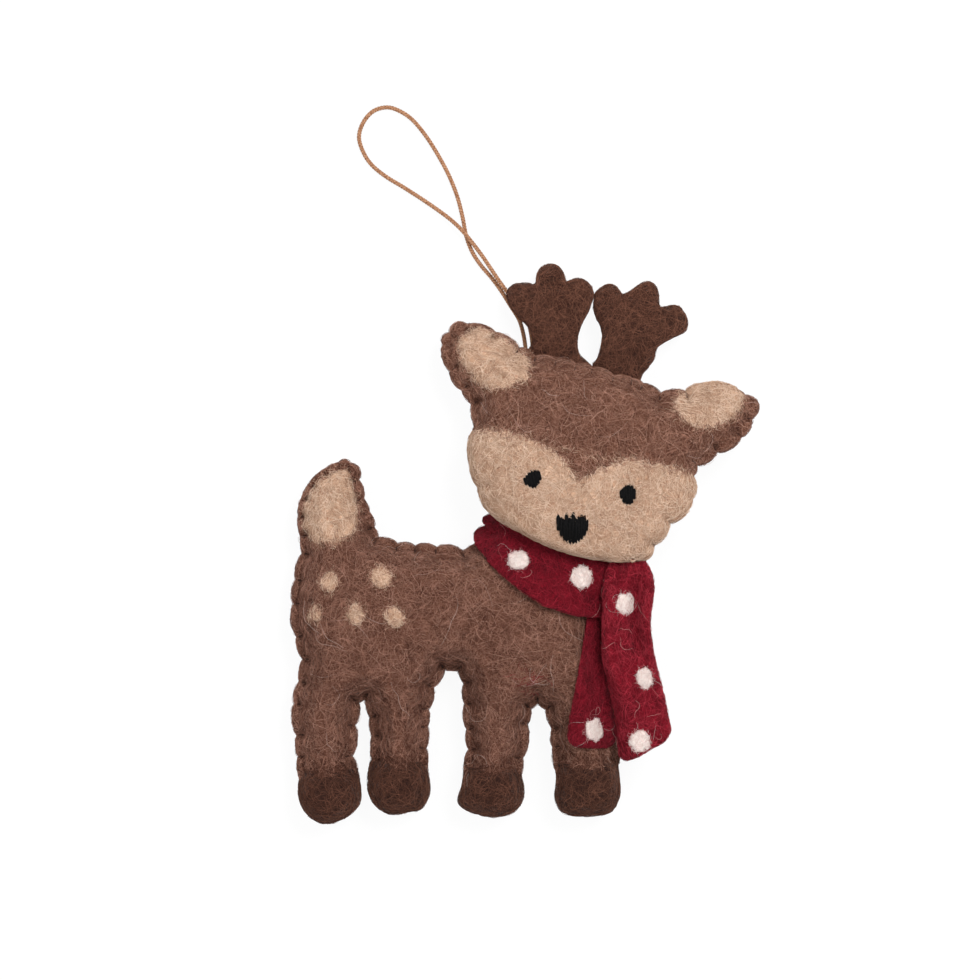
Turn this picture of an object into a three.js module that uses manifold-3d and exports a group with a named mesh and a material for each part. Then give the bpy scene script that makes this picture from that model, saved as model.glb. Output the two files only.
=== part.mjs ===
// Stuffed felt reindeer ornament with a spotted scarf and a hanging cord.
// It lies on its back: +Z out of its front, +Y towards its antlers, +X the way it faces. Millimetres.

import * as THREE from 'three';
import { mergeVertices } from 'three/addons/utils/BufferGeometryUtils.js';
import Module from 'manifold-3d';

const wasm = await Module();
wasm.setup();

// Fits and sheet thicknesses
const GAP = 0.3;
const FELT = 1.8;
const SCARF_FELT = 1.8;
const WOOL = 0.7;
const HOOF_WOOL = 1.0;
const DOT_WOOL = 0.5;
const SPOT_WOOL = 0.6;
const EMBROIDERY = 0.9;
const SEAM_THREAD = 0.4;
const SEAM_THREAD_INSET = 0.5;
const SEAM_THREAD_WIDTH = 0.8;
const TACK_THREAD = 0.6;

// Where the two seam planes lie, and how far the head leans back from the chin
const BODY_SEAM_Z = 7;
const CHIN_SEAM_Z = 16.2;
const CHIN_Y = -4;
const HEAD_LEAN_DEG = 9.5;

// Shape of the stuffed lobes: how full the crown is, and how square the outline of an oval one is
const CROWN_FULLNESS = 0.85;
const ELLIPSE = 2;
const NECK_SQUARENESS = 3.2;
const LEG_SQUARENESS = 4.4;

// Stuffed lobes of the body: outline points and how far each bulges to the front and to the back
const TORSO = {
  points: [
    [-51.2, -2.2], [-42.5, -0.3], [-28.7, 0.1], [-14.9, -0.8], [1.2, -2], [15, -5.6], [23.3, -11.2],
    [25.4, -19.9], [24.7, -29.6], [21, -36.5], [11.6, -37.6], [2.8, -36.7], [-6.8, -34.2], [-17.2, -29.3],
    [-26.9, -33.7], [-37.2, -35.3], [-46.6, -34.6], [-51.5, -28.6], [-53.5, -20], [-53, -9],
  ],
  centre: [-14, -18],
  front: 13,
  back: 7.5,
  sides: 32,
  rings: 4,
};
const TAIL = {
  points: [
    [-41.6, 19.2], [-38.2, 17], [-36.8, 11], [-34.6, 4], [-34.4, -3], [-43.6, -7], [-50.8, -3],
    [-52.2, 5.5], [-50.5, 13.2], [-46.5, 17.4],
  ],
  centre: [-43.8, 6],
  front: 5.5,
  back: 4.5,
  sides: 16,
  rings: 3,
};
const NECK = {
  centre: [8.8, -0.3],
  halfWidth: 17,
  halfHeight: 15,
  turnDeg: -21.5,
  front: 6,
  back: 4,
  sides: 16,
  rings: 3,
};
const LEG_FRONT_BULGE = 7;
const LEG_BACK_BULGE = 7.3;
const HIP_Y = -20;
// Each leg's middle and width at the hip and at the foot, and where the foot ends and the hoof begins
const LEGS = [
  { name: 'hind_outer', hip: [-45.6, 14.4], foot: [-45.4, 13.2], footY: -63.3, hoofY: -53.6 },
  { name: 'hind_inner', hip: [-29, 14.6], foot: [-29.3, 12.8], footY: -61, hoofY: -52 },
  { name: 'fore_inner', hip: [-6.2, 14.6], foot: [-7.7, 13.4], footY: -61.6, hoofY: -53.6 },
  { name: 'fore_outer', hip: [13.2, 15], foot: [14.4, 13.8], footY: -61.4, hoofY: -52.8 },
];
const LEG_SIDES = 14;
const LEG_RINGS = 3;

// Stuffed head and its two flat ears
const HEAD = {
  points: [
    [1.5, 43.8], [8.1, 42.9], [17.3, 40.4], [26.5, 37.4], [33.5, 32.5], [38, 25], [39.4, 18], [38.4, 11.5],
    [35.7, 7], [31.5, 2], [27.6, -2.4], [22, -4], [14, -3.4], [6, -0.8], [-1.8, 3.5], [-7.8, 7.6],
    [-11.2, 13.5], [-12.6, 20], [-12.2, 27], [-10, 34], [-4.5, 40.5],
  ],
  centre: [13, 20],
  front: 11.5,
  back: 12,
  sides: 32,
  rings: 4,
};
const EAR_BULGE = 2.2;
const EAR_SIDES = 12;
const EAR_RINGS = 3;
const LEFT_EAR = {
  points: [
    [-15.6, 51.4], [-9, 50.3], [-4, 47.6], [0.6, 43], [-1, 36.5], [-11.7, 32], [-15.2, 36.2], [-17.4, 40.8],
    [-18.9, 47.3],
  ],
  centre: [-8.5, 42.5],
};
const RIGHT_EAR = {
  points: [
    [37, 35], [43.5, 37.1], [49.5, 35.6], [53.8, 32.5], [52.3, 27], [48.6, 22.7], [43.5, 20.4], [38.5, 18.6],
    [32.9, 23.8], [32, 31.9],
  ],
  centre: [42.5, 28.5],
};

// Antlers, cut from thick felt, with roots tucked into the head's top seam
const ANTLER_FELT = 3.4;
const ANTLER_EDGE = 0.8;
const ANTLER_EDGE_STEPS = 2;
const ANTLER_STEPS = 48;
const LEFT_ANTLER = [
  [-3.9, 58.4], [-2.6, 59.8], [0, 60.2], [2.4, 59.8], [2.8, 61.4], [3.6, 63.4], [6.2, 64.6], [8.6, 63.2], [9.4, 61],
  [9.8, 60.2], [12, 61.2], [14.4, 60.5], [15.6, 58.2], [15.2, 55.2], [13.4, 51.2], [12.3, 47], [12.3, 44],
  [10.9, 38.6], [3.8, 39.4], [1.3, 43.8], [1.9, 46.6], [0.6, 50.5], [-2.2, 53.4], [-4, 56.6],
];
const RIGHT_ANTLER = [
  [16.4, 57.6], [17.4, 58.9], [19.8, 59.9], [21.9, 58.6], [22.7, 57.4], [24.4, 58.2], [26.6, 59.8], [28.8, 60.5],
  [30.7, 58.8], [31.1, 55.4], [31.7, 54.5], [34.6, 55], [36.9, 53.4], [37.7, 51], [37.2, 49], [33.9, 47.3],
  [30.7, 45.4], [29.9, 43], [28.4, 40.6], [26.9, 38], [25.6, 33.4], [19, 34.2], [16, 40.8], [17.3, 44], [18, 48.2],
  [16.8, 51.8], [16.1, 54.6],
];

// Needle-felted patches: the face's upper edge, then ovals as centre, half sizes and turn
const FACE_TOP = [
  [-16, 25.4], [-2.9, 25.4], [5.6, 22.2], [9.7, 18.1], [12.2, 14.1], [16.2, 16.4], [20.8, 18.3], [25.5, 18.9],
  [33.9, 17.4], [43, 13],
];
const FACE_FOOT_Y = -12;
const OVAL_SIDES = 14;
const TAIL_LINING = { centre: [-44.6, 8.6], half: [5.6, 8.6], turnDeg: -6 };
const LEFT_EAR_LINING = { centre: [-7.4, 42.7], half: [8.6, 5.6], turnDeg: -28 };
const RIGHT_EAR_LINING = { centre: [42.2, 32], half: [7.7, 5.3], turnDeg: 4 };
const RUMP_SPOTS = [
  { centre: [-44.8, -9.1], half: [2.2, 2.4], turnDeg: 0 },
  { centre: [-32.8, -7.7], half: [2.6, 2.5], turnDeg: 0 },
  { centre: [-47.8, -16], half: [1.4, 1.9], turnDeg: 0 },
  { centre: [-38.4, -16.2], half: [1.8, 2.4], turnDeg: 0 },
  { centre: [-29.8, -16.7], half: [2.4, 2.3], turnDeg: 20 },
];

// Embroidered eyes and nose
const LEFT_EYE = { centre: [1.4, 14.6], half: [1.9, 2], turnDeg: 0 };
const RIGHT_EYE = { centre: [23.5, 11.4], half: [1.7, 2.1], turnDeg: 0 };
const NOSE = [
  [7.5, 6.2], [8.7, 5.5], [9.5, 6.9], [10.5, 6], [11.3, 6.9], [12.2, 5.6], [13.4, 6], [14.1, 4], [13.4, 1.7],
  [10.6, 0.2], [8.1, 1.7], [7.4, 4],
];

// Scarf: a band round the neck, the end folded down over it, and two loose tails
const BAND = { centre: [8.5, -7.1], length: 45, width: 12.6, turnDeg: -21.5 };
// The neck's round as the band spans it, from the torso to the chin
const BAND_WRAP = {
  centre: [6.5, -4.5],
  halfWidth: 16,
  halfHeight: 14,
  turnDeg: BAND.turnDeg,
  front: 9,
  back: 3.5,
  sides: 20,
  rings: 3,
};
const BAND_RISE_TO_BACK = 0.6;
const BAND_FRONT_Z = 18;
const TAIL_HINGE_Y = -17.1;
const TAIL_HINGE_CLEARANCE = 0.3;
const FOLD_POINTS = [
  [20.1, -2.9], [28.3, -4.3], [31, -8.4], [29.6, TAIL_HINGE_Y], [17.8, TAIL_HINGE_Y], [18.7, -10.7],
];
const FRONT_TAIL_POINTS = [
  [16.9, -12], [18.6, -24.5], [20.3, -33.7], [21.3, -45.2], [22.4, -50.4], [24.7, -50.7], [29.3, -48.2],
  [33.2, -44], [32.7, -39.4], [30, -27.9], [29.2, -22.2], [29.6, -12],
];
const BACK_TAIL_POINTS = [
  [15.2, -12], [13.4, -24.5], [11.6, -34.8], [10.2, -44], [10.6, -45.7], [15, -47], [20.8, -46.2],
  [19.7, -34], [18, -24.6], [16.3, -12],
];
const TAIL_DRAPE = {
  centre: [25, -30],
  halfWidth: 15,
  halfHeight: 29,
  turnDeg: 4,
  front: 5,
  back: 3,
  sides: 24,
  rings: 3,
};
const DOT_HALF = 2.4;
const BAND_DOTS = [[-1.3, -4], [12.9, -7.9]];
const FOLD_DOT = [22.8, -13.7];
const FRONT_TAIL_DOTS = [[27.4, -30.7], [26.3, -45]];
const BACK_TAIL_DOT = [15.7, -42.7];

// Hanging cord: one strand from its tack on the back of the head, round the loop and back again
const CORD_DIAMETER = 1.2;
const CORD_SIDES = 8;
const CORD_STEPS = 62;
const CORD_ROUTE = [
  [0.6, 42.3, 3.3], [0.2, 45.4, 2.6], [-0.3, 48.6, 1.3], [-1.3, 51.9, 0.65], [-3.4, 55.3, 0.65],
  [-5.4, 58.5, 0.65], [-7.6, 61.5, 0.65], [-10, 64.3, 0.65], [-12.1, 67.5, 0.65], [-13.5, 71.2, 0.65],
  [-14.4, 75.8, 0.65], [-15.6, 80.4, 0.65], [-17.4, 85, 0.65], [-19.7, 89.4, 0.65], [-22.7, 94.2, 0.65],
  [-25.9, 98.1, 0.65], [-28.9, 100.2, 0.65], [-31.9, 101.1, 0.65], [-35.1, 100.2, 0.65], [-37.4, 97.6, 0.65],
  [-38.4, 94.2, 0.65], [-37.4, 90.7, 0.65], [-35.4, 87.7, 0.65], [-32.1, 85, 0.65], [-28, 82.5, 0.65],
  [-22.9, 79.2, 0.8], [-17.9, 75.6, 1.6], [-14.8, 72.8, 2.3], [-12.4, 70, 2.1], [-10.1, 67, 1.6],
  [-8.2, 64.2, 2], [-6.2, 61.2, 2.3], [-4, 58.2, 1.6], [-1.6, 55, 0.8], [0.6, 51.8, 0.75], [1.5, 48.6, 1.3],
  [1.9, 45.4, 2.6], [2.3, 42.3, 3.3],
];

// Thread that holds the head to the neck, seen from behind
const NECK_STITCHES = [[6, 12.6], [11, 14.2], [16, 13.2], [20.5, 10]];
const NECK_STITCH = { half: [0.6, 2.2], turnDeg: -12 };
const CORD_STITCH_ROUTE = [
  [-0.9, 43.2, 4.4], [-0.75, 43.2, 2.9], [1.4, 43.2, 2.1], [3.6, 43.2, 2.9], [3.8, 43.2, 4.4],
];
const CORD_STITCH_SIDES = 6;
const CORD_STITCH_STEPS = 12;

// Reach of the blocks and prisms that trim the pieces, and how near two corners are the same one
const FAR = 200;
const MERGE_TOLERANCE = 1e-4;

// Felt, wool and thread finishes
const felt = (colour) => new THREE.MeshStandardMaterial({ color: colour, roughness: 0.95, metalness: 0 });
const thread = (colour) => new THREE.MeshStandardMaterial({ color: colour, roughness: 0.7, metalness: 0 });
const BODY_FELT = felt('#6c4a3f');
const HEAD_FELT = felt('#765143');
const ANTLER_BROWN = felt('#55362c');
const HOOF_BROWN = felt('#462c23');
const CREAM_WOOL = felt('#c09e86');
const SCARF_RED = felt('#731825');
const DOT_WHITE = felt('#d9c8c1');
const FILLING = felt('#e8e4dc');
const BLACK_THREAD = thread('#181717');
const BROWN_THREAD = thread('#4d3229');
const CORD_TAN = thread('#af866b');

// Solids from closed geometry, and back again
function toSolid(geometry) {
  geometry.deleteAttribute('normal');
  geometry.deleteAttribute('uv');
  const merged = mergeVertices(geometry, MERGE_TOLERANCE);
  return new wasm.Manifold(new wasm.Mesh({
    numProp: 3,
    vertProperties: new Float32Array(merged.attributes.position.array),
    triVerts: new Uint32Array(merged.index.array),
  }));
}

function toGeometry(solid) {
  const mesh = solid.getMesh();
  const geometry = new THREE.BufferGeometry();
  geometry.setAttribute('position', new THREE.BufferAttribute(new Float32Array(mesh.vertProperties), 3));
  geometry.setIndex(new THREE.BufferAttribute(new Uint32Array(mesh.triVerts), 1));
  geometry.computeVertexNormals();
  return geometry;
}

// Outlines, counterclockwise seen from the front
const toVectors = (points) => points.map(([x, y]) => new THREE.Vector2(x, y));

function closedSpline(points, count) {
  const curve = new THREE.CatmullRomCurve3(points.map(([x, y]) => new THREE.Vector3(x, y, 0)), true);
  const outline = curve.getSpacedPoints(count).slice(0, count).map(({ x, y }) => new THREE.Vector2(x, y));
  return THREE.ShapeUtils.isClockWise(outline) ? outline.reverse() : outline;
}

function closedOutline(points) {
  const outline = toVectors(points);
  return THREE.ShapeUtils.isClockWise(outline) ? outline.reverse() : outline;
}

function signedPower(value, power) {
  return Math.sign(value) * Math.abs(value) ** power;
}

// An oval squared off by its squareness; widthAt narrows it along its height
function squaredOval({ centre, halfWidth, halfHeight, turnDeg = 0, sides }, squareness, widthAt = () => 1) {
  const turn = THREE.MathUtils.degToRad(turnDeg);
  return Array.from({ length: sides }, (_, index) => {
    const angle = (index / sides) * 2 * Math.PI;
    const up = signedPower(Math.sin(angle), 2 / squareness);
    const across = signedPower(Math.cos(angle), 2 / squareness) * widthAt(up);
    const point = new THREE.Vector2(across * halfWidth, up * halfHeight);
    return point.rotateAround(new THREE.Vector2(), turn).add(new THREE.Vector2(...centre));
  });
}

function oval({ centre, half, turnDeg = 0 }) {
  const [halfWidth, halfHeight] = half;
  return squaredOval({ centre, halfWidth, halfHeight, turnDeg, sides: OVAL_SIDES }, ELLIPSE);
}

function growOutline(outline, grow) {
  return outline.map((point, index) => {
    const before = outline.at(index - 1);
    const after = outline[(index + 1) % outline.length];
    const along = new THREE.Vector2().subVectors(after, before).normalize();
    return new THREE.Vector2(point.x + along.y * grow, point.y - along.x * grow);
  });
}

// A cushion over an outline: rings shrink to its centre as they rise to the crown on either side
function cushion({ outline, centre, front, back, rings, plane }, grow) {
  const rim = growOutline(outline, grow);
  const count = rim.length;
  const middle = new THREE.Vector2(...centre);
  const positions = rim.flatMap(({ x, y }) => [x, y, 0]);
  const faces = [];
  const addSide = (height, outward) => {
    let outer = 0;
    for (let ring = 1; ring <= rings; ring += 1) {
      const rise = (ring / rings) * (Math.PI / 2);
      const z = height * Math.sin(rise) ** CROWN_FULLNESS;
      const inner = positions.length / 3;
      const isPole = ring === rings;
      const ringPoints = isPole ? [middle] : rim.map((point) => middle.clone().lerp(point, Math.cos(rise)));
      ringPoints.forEach(({ x, y }) => positions.push(x, y, z));
      for (let index = 0; index < count; index += 1) {
        const next = (index + 1) % count;
        const quad = isPole
          ? [[outer + index, outer + next, inner]]
          : [[outer + index, outer + next, inner + next], [outer + index, inner + next, inner + index]];
        quad.forEach((face) => faces.push(...(outward ? face : face.reverse())));
      }
      outer = inner;
    }
  };
  addSide(front + grow, true);
  addSide(-(back + grow), false);
  const geometry = new THREE.BufferGeometry();
  geometry.setAttribute('position', new THREE.Float32BufferAttribute(positions, 3));
  geometry.setIndex(faces);
  geometry.applyMatrix4(plane);
  return toSolid(geometry);
}

// A straight prism over an outline, between two heights, moved by a matrix
function prism(outline, low, high, matrix = new THREE.Matrix4()) {
  const shape = new THREE.Shape(outline);
  const geometry = new THREE.ExtrudeGeometry(shape, { depth: high - low, bevelEnabled: false });
  geometry.translate(0, 0, low);
  geometry.applyMatrix4(matrix);
  return toSolid(geometry);
}

function block(low, high, matrix) {
  return prism(toVectors([[-FAR, -FAR], [FAR, -FAR], [FAR, FAR], [-FAR, FAR]]), low, high, matrix);
}

const union = (solids) => solids.reduce((whole, solid) => whole.add(solid));

// The body's seam lies flat, and the head's leans back from the chin without changing its plan
const bodyPlane = new THREE.Matrix4().makeTranslation(0, 0, BODY_SEAM_Z);
const headLean = Math.tan(THREE.MathUtils.degToRad(HEAD_LEAN_DEG));
const headPlane = new THREE.Matrix4()
  .makeTranslation(0, 0, CHIN_SEAM_Z + CHIN_Y * headLean)
  .multiply(new THREE.Matrix4().makeShear(0, 0, 0, -headLean, 0, 0));

// Lobes of the body
function legLobe({ hip, foot, footY }) {
  const [hipX, hipWidth] = hip;
  const [footX, footWidth] = foot;
  const halfHeight = (HIP_Y - footY) / 2;
  const lean = (hipX - footX) / (HIP_Y - footY);
  const narrowing = (hipWidth - footWidth) / (hipWidth + footWidth);
  const centre = [(hipX + footX) / 2, (HIP_Y + footY) / 2];
  const halfWidth = (hipWidth + footWidth) / 4;
  const upright = squaredOval(
    { centre, halfWidth, halfHeight, sides: LEG_SIDES },
    LEG_SQUARENESS,
    (up) => 1 + narrowing * up,
  );
  const outline = upright.map(({ x, y }) => new THREE.Vector2(x + (y - centre[1]) * lean, y));
  const bulge = { front: LEG_FRONT_BULGE, back: LEG_BACK_BULGE, rings: LEG_RINGS };
  return { outline, centre, plane: bodyPlane, ...bulge };
}

const splineLobe = (shape, plane) => ({ ...shape, outline: closedSpline(shape.points, shape.sides), plane });
const torsoLobe = splineLobe(TORSO, bodyPlane);
const tailLobe = splineLobe(TAIL, bodyPlane);
const neckLobe = { ...NECK, outline: squaredOval(NECK, NECK_SQUARENESS), plane: bodyPlane };
const legLobes = LEGS.map(legLobe);
const bodyLobes = [torsoLobe, neckLobe, tailLobe, ...legLobes];
const wrapLobe = { ...BAND_WRAP, outline: squaredOval(BAND_WRAP, ELLIPSE), plane: bodyPlane };
const drapeLobe = { ...TAIL_DRAPE, outline: squaredOval(TAIL_DRAPE, ELLIPSE), plane: bodyPlane };

// Lobes of the head
const earShape = { front: EAR_BULGE, back: EAR_BULGE, sides: EAR_SIDES, rings: EAR_RINGS };
const headLobe = splineLobe(HEAD, headPlane);
const earLobes = [LEFT_EAR, RIGHT_EAR].map((ear) => splineLobe({ ...earShape, ...ear }, headPlane));

// The whole body, with the round that the band spans, and with the drape under the scarf's front end, grown outwards
const bodySolid = (grow) => union(bodyLobes.map((lobe) => cushion(lobe, grow)));
const wrapSolid = (grow) => bodySolid(grow).add(cushion(wrapLobe, grow));
const drapeSolid = (grow) => wrapSolid(grow).add(cushion(drapeLobe, grow));

// Scarf layers, from the body outwards
const bandInner = GAP;
const bandOuter = bandInner + SCARF_FELT;
const foldInner = bandOuter + GAP;
const foldOuter = foldInner + SCARF_FELT;

// The band's cut rises towards the back of the neck
const bandRise = new THREE.Vector2(0, BAND_RISE_TO_BACK)
  .rotateAround(new THREE.Vector2(), THREE.MathUtils.degToRad(BAND.turnDeg));
const bandSlant = new THREE.Matrix4()
  .makeTranslation(bandRise.x * BAND_FRONT_Z, bandRise.y * BAND_FRONT_Z, 0)
  .multiply(new THREE.Matrix4().makeShear(0, 0, 0, 0, -bandRise.x, -bandRise.y));

function bandCut(grow) {
  const corners = [[-1, -1], [1, -1], [1, 1], [-1, 1]].map(([across, up]) => new THREE.Vector2(
    across * (BAND.length / 2 + grow),
    up * (BAND.width / 2 + grow),
  ));
  const turn = THREE.MathUtils.degToRad(BAND.turnDeg);
  const placed = corners.map((corner) => corner.rotateAround(new THREE.Vector2(), turn)
    .add(new THREE.Vector2(...BAND.centre)));
  return prism(placed, -FAR, FAR, bandSlant);
}

const bodyFront = block(BODY_SEAM_Z + SEAM_THREAD / 2 + GAP, FAR);
const bodyBack = block(-FAR, BODY_SEAM_Z - SEAM_THREAD / 2 - GAP);
const headFront = block(SEAM_THREAD / 2 + GAP, FAR, headPlane);
const headBack = block(-FAR, -SEAM_THREAD / 2 - GAP, headPlane);
const aboveFloor = block(0, FAR);

function foldCut(grow) {
  const outline = closedOutline(FOLD_POINTS);
  return prism(growOutline(outline, grow), BODY_SEAM_Z, FAR);
}

// What presses into the back of the head: the neck, the band and the folded end, grown outwards
function headPress(grow) {
  return bodySolid(GAP + grow)
    .add(wrapSolid(bandOuter + GAP + grow).intersect(bandCut(GAP + grow)))
    .add(drapeSolid(foldOuter + GAP + grow).intersect(foldCut(GAP + grow)));
}

const headShape = (grow) => union([headLobe, ...earLobes].map((lobe) => cushion(lobe, grow)));
const headSolid = (grow) => headShape(grow).subtract(headPress(-grow));
const headCavity = (inset) => cushion(headLobe, -inset).subtract(headPress(inset));

// A layer of even thickness over a solid, trimmed to a cutter
function layer(solidAt, inner, outer, ...cutters) {
  const shell = solidAt(outer).subtract(solidAt(inner));
  return cutters.reduce((piece, cutter) => piece.intersect(cutter), shell);
}

// Antlers: bevelled felt, and the slot that each root needs
function antler(points) {
  const shape = new THREE.Shape(closedSpline(points, ANTLER_STEPS));
  const geometry = new THREE.ExtrudeGeometry(shape, {
    depth: ANTLER_FELT - 2 * ANTLER_EDGE,
    bevelThickness: ANTLER_EDGE,
    bevelSize: ANTLER_EDGE,
    bevelOffset: -ANTLER_EDGE,
    bevelSegments: ANTLER_EDGE_STEPS,
  });
  geometry.translate(0, 0, ANTLER_EDGE - ANTLER_FELT / 2);
  geometry.applyMatrix4(headPlane);
  return toSolid(geometry);
}

function antlerSlot(points) {
  const outline = growOutline(closedSpline(points, ANTLER_STEPS), GAP);
  return prism(outline, -ANTLER_FELT / 2 - GAP, ANTLER_FELT / 2 + GAP, headPlane);
}

// A round tube along points, capped at its ends
function tube(points, diameter, sides, steps) {
  const route = new THREE.CatmullRomCurve3(points.map((point) => new THREE.Vector3(...point)));
  const section = new THREE.Shape(Array.from({ length: sides }, (_, index) => {
    const angle = (index / sides) * 2 * Math.PI;
    return new THREE.Vector2(Math.cos(angle), Math.sin(angle)).multiplyScalar(diameter / 2);
  }));
  return new THREE.ExtrudeGeometry(section, { steps, extrudePath: route, bevelEnabled: false });
}

const ornament = new THREE.Group();

function addPiece(name, geometry, material) {
  const mesh = new THREE.Mesh(geometry, material);
  mesh.name = name;
  ornament.add(mesh);
}

const addSolid = (name, solid, material) => addPiece(name, toGeometry(solid), material);

// Body: two felt panels, the thread along their seam, and the filling of each lobe
const bodyShell = bodySolid(0).subtract(bodySolid(-FELT)).intersect(aboveFloor);
addSolid('body_front_panel', bodyShell.intersect(bodyFront), BODY_FELT);
addSolid('body_back_panel', bodyShell.intersect(bodyBack), BODY_FELT);

function seamThread(solidAt, plane) {
  const slab = block(-SEAM_THREAD / 2, SEAM_THREAD / 2, plane);
  return layer(solidAt, -SEAM_THREAD_INSET - SEAM_THREAD_WIDTH, -SEAM_THREAD_INSET, slab);
}

addSolid('body_seam_thread', seamThread(bodySolid, bodyPlane), BROWN_THREAD);

const fillingInset = FELT + GAP;
const torsoClear = cushion(torsoLobe, GAP - fillingInset);
addSolid('torso_filling', cushion(torsoLobe, -fillingInset), FILLING);
addSolid('tail_filling', cushion(tailLobe, -fillingInset).subtract(torsoClear), FILLING);
addSolid('neck_filling', cushion(neckLobe, -fillingInset).subtract(torsoClear), FILLING);
LEGS.forEach(({ name, hoofY }, index) => {
  const legAt = (grow) => cushion(legLobes[index], grow);
  addSolid(`${name}_leg_filling`, legAt(-fillingInset).subtract(torsoClear), FILLING);
  const footEnd = block(-FAR, FAR, new THREE.Matrix4().makeTranslation(0, hoofY - FAR, 0));
  addSolid(`${name}_hoof`, layer(legAt, GAP, GAP + HOOF_WOOL, footEnd, aboveFloor), HOOF_BROWN);
});

// Wool patches on the front of the body
const frontOval = (shape) => prism(oval(shape), BODY_SEAM_Z, FAR);
addSolid('tail_lining', layer(bodySolid, GAP, GAP + WOOL, frontOval(TAIL_LINING), bodyFront), CREAM_WOOL);
RUMP_SPOTS.forEach((spot, index) => {
  const patch = layer(bodySolid, GAP, GAP + SPOT_WOOL, frontOval(spot), bodyFront);
  addSolid(`rump_spot_${index + 1}`, patch, CREAM_WOOL);
});

// Antlers, sewn through by the head's seam thread
const headThread = seamThread(headSolid, headPlane);
const threadSlab = block(-SEAM_THREAD / 2 - GAP, SEAM_THREAD / 2 + GAP, headPlane);
const threadSlot = layer(
  headSolid,
  -SEAM_THREAD_INSET - SEAM_THREAD_WIDTH - GAP,
  -SEAM_THREAD_INSET + GAP,
  threadSlab,
);
addSolid('head_seam_thread', headThread, BROWN_THREAD);
addSolid('left_antler', antler(LEFT_ANTLER).subtract(threadSlot), ANTLER_BROWN);
addSolid('right_antler', antler(RIGHT_ANTLER).subtract(threadSlot), ANTLER_BROWN);

// Head: two felt panels with ears, and its filling, all slotted for the antlers
const antlerSlots = antlerSlot(LEFT_ANTLER).add(antlerSlot(RIGHT_ANTLER));
const headShell = headSolid(0).subtract(headCavity(FELT)).subtract(antlerSlots).intersect(aboveFloor);
addSolid('head_front_panel', headShell.intersect(headFront), HEAD_FELT);
addSolid('head_back_panel', headShell.intersect(headBack), HEAD_FELT);
addSolid('head_filling', headCavity(fillingInset).subtract(antlerSlots), FILLING);

// Wool and embroidery on the front of the head
const pressed = headPress(0);
const onHead = (inner, outer, outline) => layer(headShape, inner, outer, prism(outline, 0, FAR), headFront)
  .subtract(pressed);
const faceTop = new THREE.SplineCurve(toVectors(FACE_TOP)).getPoints(2 * FACE_TOP.length);
const faceOutline = [
  ...faceTop,
  new THREE.Vector2(faceTop.at(-1).x, FACE_FOOT_Y),
  new THREE.Vector2(faceTop[0].x, FACE_FOOT_Y),
];
const onFace = GAP + WOOL + GAP;
addSolid('face_patch', onHead(GAP, GAP + WOOL, faceOutline), CREAM_WOOL);
addSolid('left_ear_lining', onHead(GAP, GAP + WOOL, oval(LEFT_EAR_LINING)), CREAM_WOOL);
addSolid('right_ear_lining', onHead(GAP, GAP + WOOL, oval(RIGHT_EAR_LINING)), CREAM_WOOL);
addSolid('left_eye', onHead(onFace, onFace + EMBROIDERY, oval(LEFT_EYE)), BLACK_THREAD);
addSolid('right_eye', onHead(onFace, onFace + EMBROIDERY, oval(RIGHT_EYE)), BLACK_THREAD);
addSolid('nose', onHead(onFace, onFace + EMBROIDERY, closedOutline(NOSE)), BLACK_THREAD);

// Scarf
const belowHinge = block(
  BODY_SEAM_Z,
  FAR,
  new THREE.Matrix4().makeTranslation(0, TAIL_HINGE_Y - TAIL_HINGE_CLEARANCE - FAR, 0),
);
const tailCut = (points) => prism(closedOutline(points), BODY_SEAM_Z, FAR);
addSolid('scarf_band', layer(wrapSolid, bandInner, bandOuter, bandCut(0)), SCARF_RED);
addSolid('scarf_fold', layer(drapeSolid, foldInner, foldOuter, foldCut(0)), SCARF_RED);
const frontTail = layer(drapeSolid, foldInner, foldOuter, tailCut(FRONT_TAIL_POINTS), belowHinge);
const backTail = layer(bodySolid, bandInner, bandOuter, tailCut(BACK_TAIL_POINTS), belowHinge)
  .subtract(bandCut(TAIL_HINGE_CLEARANCE));
addSolid('scarf_front_tail', frontTail, SCARF_RED);
addSolid('scarf_back_tail', backTail, SCARF_RED);

// Dots felted onto the scarf
function scarfDot(name, solidAt, surface, centre) {
  const outline = oval({ centre, half: [DOT_HALF, DOT_HALF] });
  const dot = layer(solidAt, surface + GAP, surface + GAP + DOT_WOOL, prism(outline, BODY_SEAM_Z, FAR));
  addSolid(name, dot, DOT_WHITE);
}

BAND_DOTS.forEach((centre, index) => scarfDot(`band_dot_${index + 1}`, wrapSolid, bandOuter, centre));
scarfDot('fold_dot', drapeSolid, foldOuter, FOLD_DOT);
FRONT_TAIL_DOTS.forEach((centre, index) => {
  scarfDot(`front_tail_dot_${index + 1}`, drapeSolid, foldOuter, centre);
});
scarfDot('back_tail_dot', bodySolid, bandOuter, BACK_TAIL_DOT);

// Thread behind the head: stitches at the top of the neck, and the loop over the cord's two ends
const wholeSolid = (grow) => headSolid(grow).add(bodySolid(grow));
NECK_STITCHES.forEach((centre, index) => {
  const cut = prism(oval({ ...NECK_STITCH, centre }), -FAR, BODY_SEAM_Z);
  addSolid(`neck_stitch_${index + 1}`, layer(wholeSolid, GAP, GAP + TACK_THREAD, cut), BROWN_THREAD);
});
const cordStitch = tube(CORD_STITCH_ROUTE, TACK_THREAD, CORD_STITCH_SIDES, CORD_STITCH_STEPS);
addPiece('cord_stitch', cordStitch, BROWN_THREAD);

// Hanging cord
addPiece('hanging_cord', tube(CORD_ROUTE, CORD_DIAMETER, CORD_SIDES, CORD_STEPS), CORD_TAN);

export default ornament;
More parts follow.
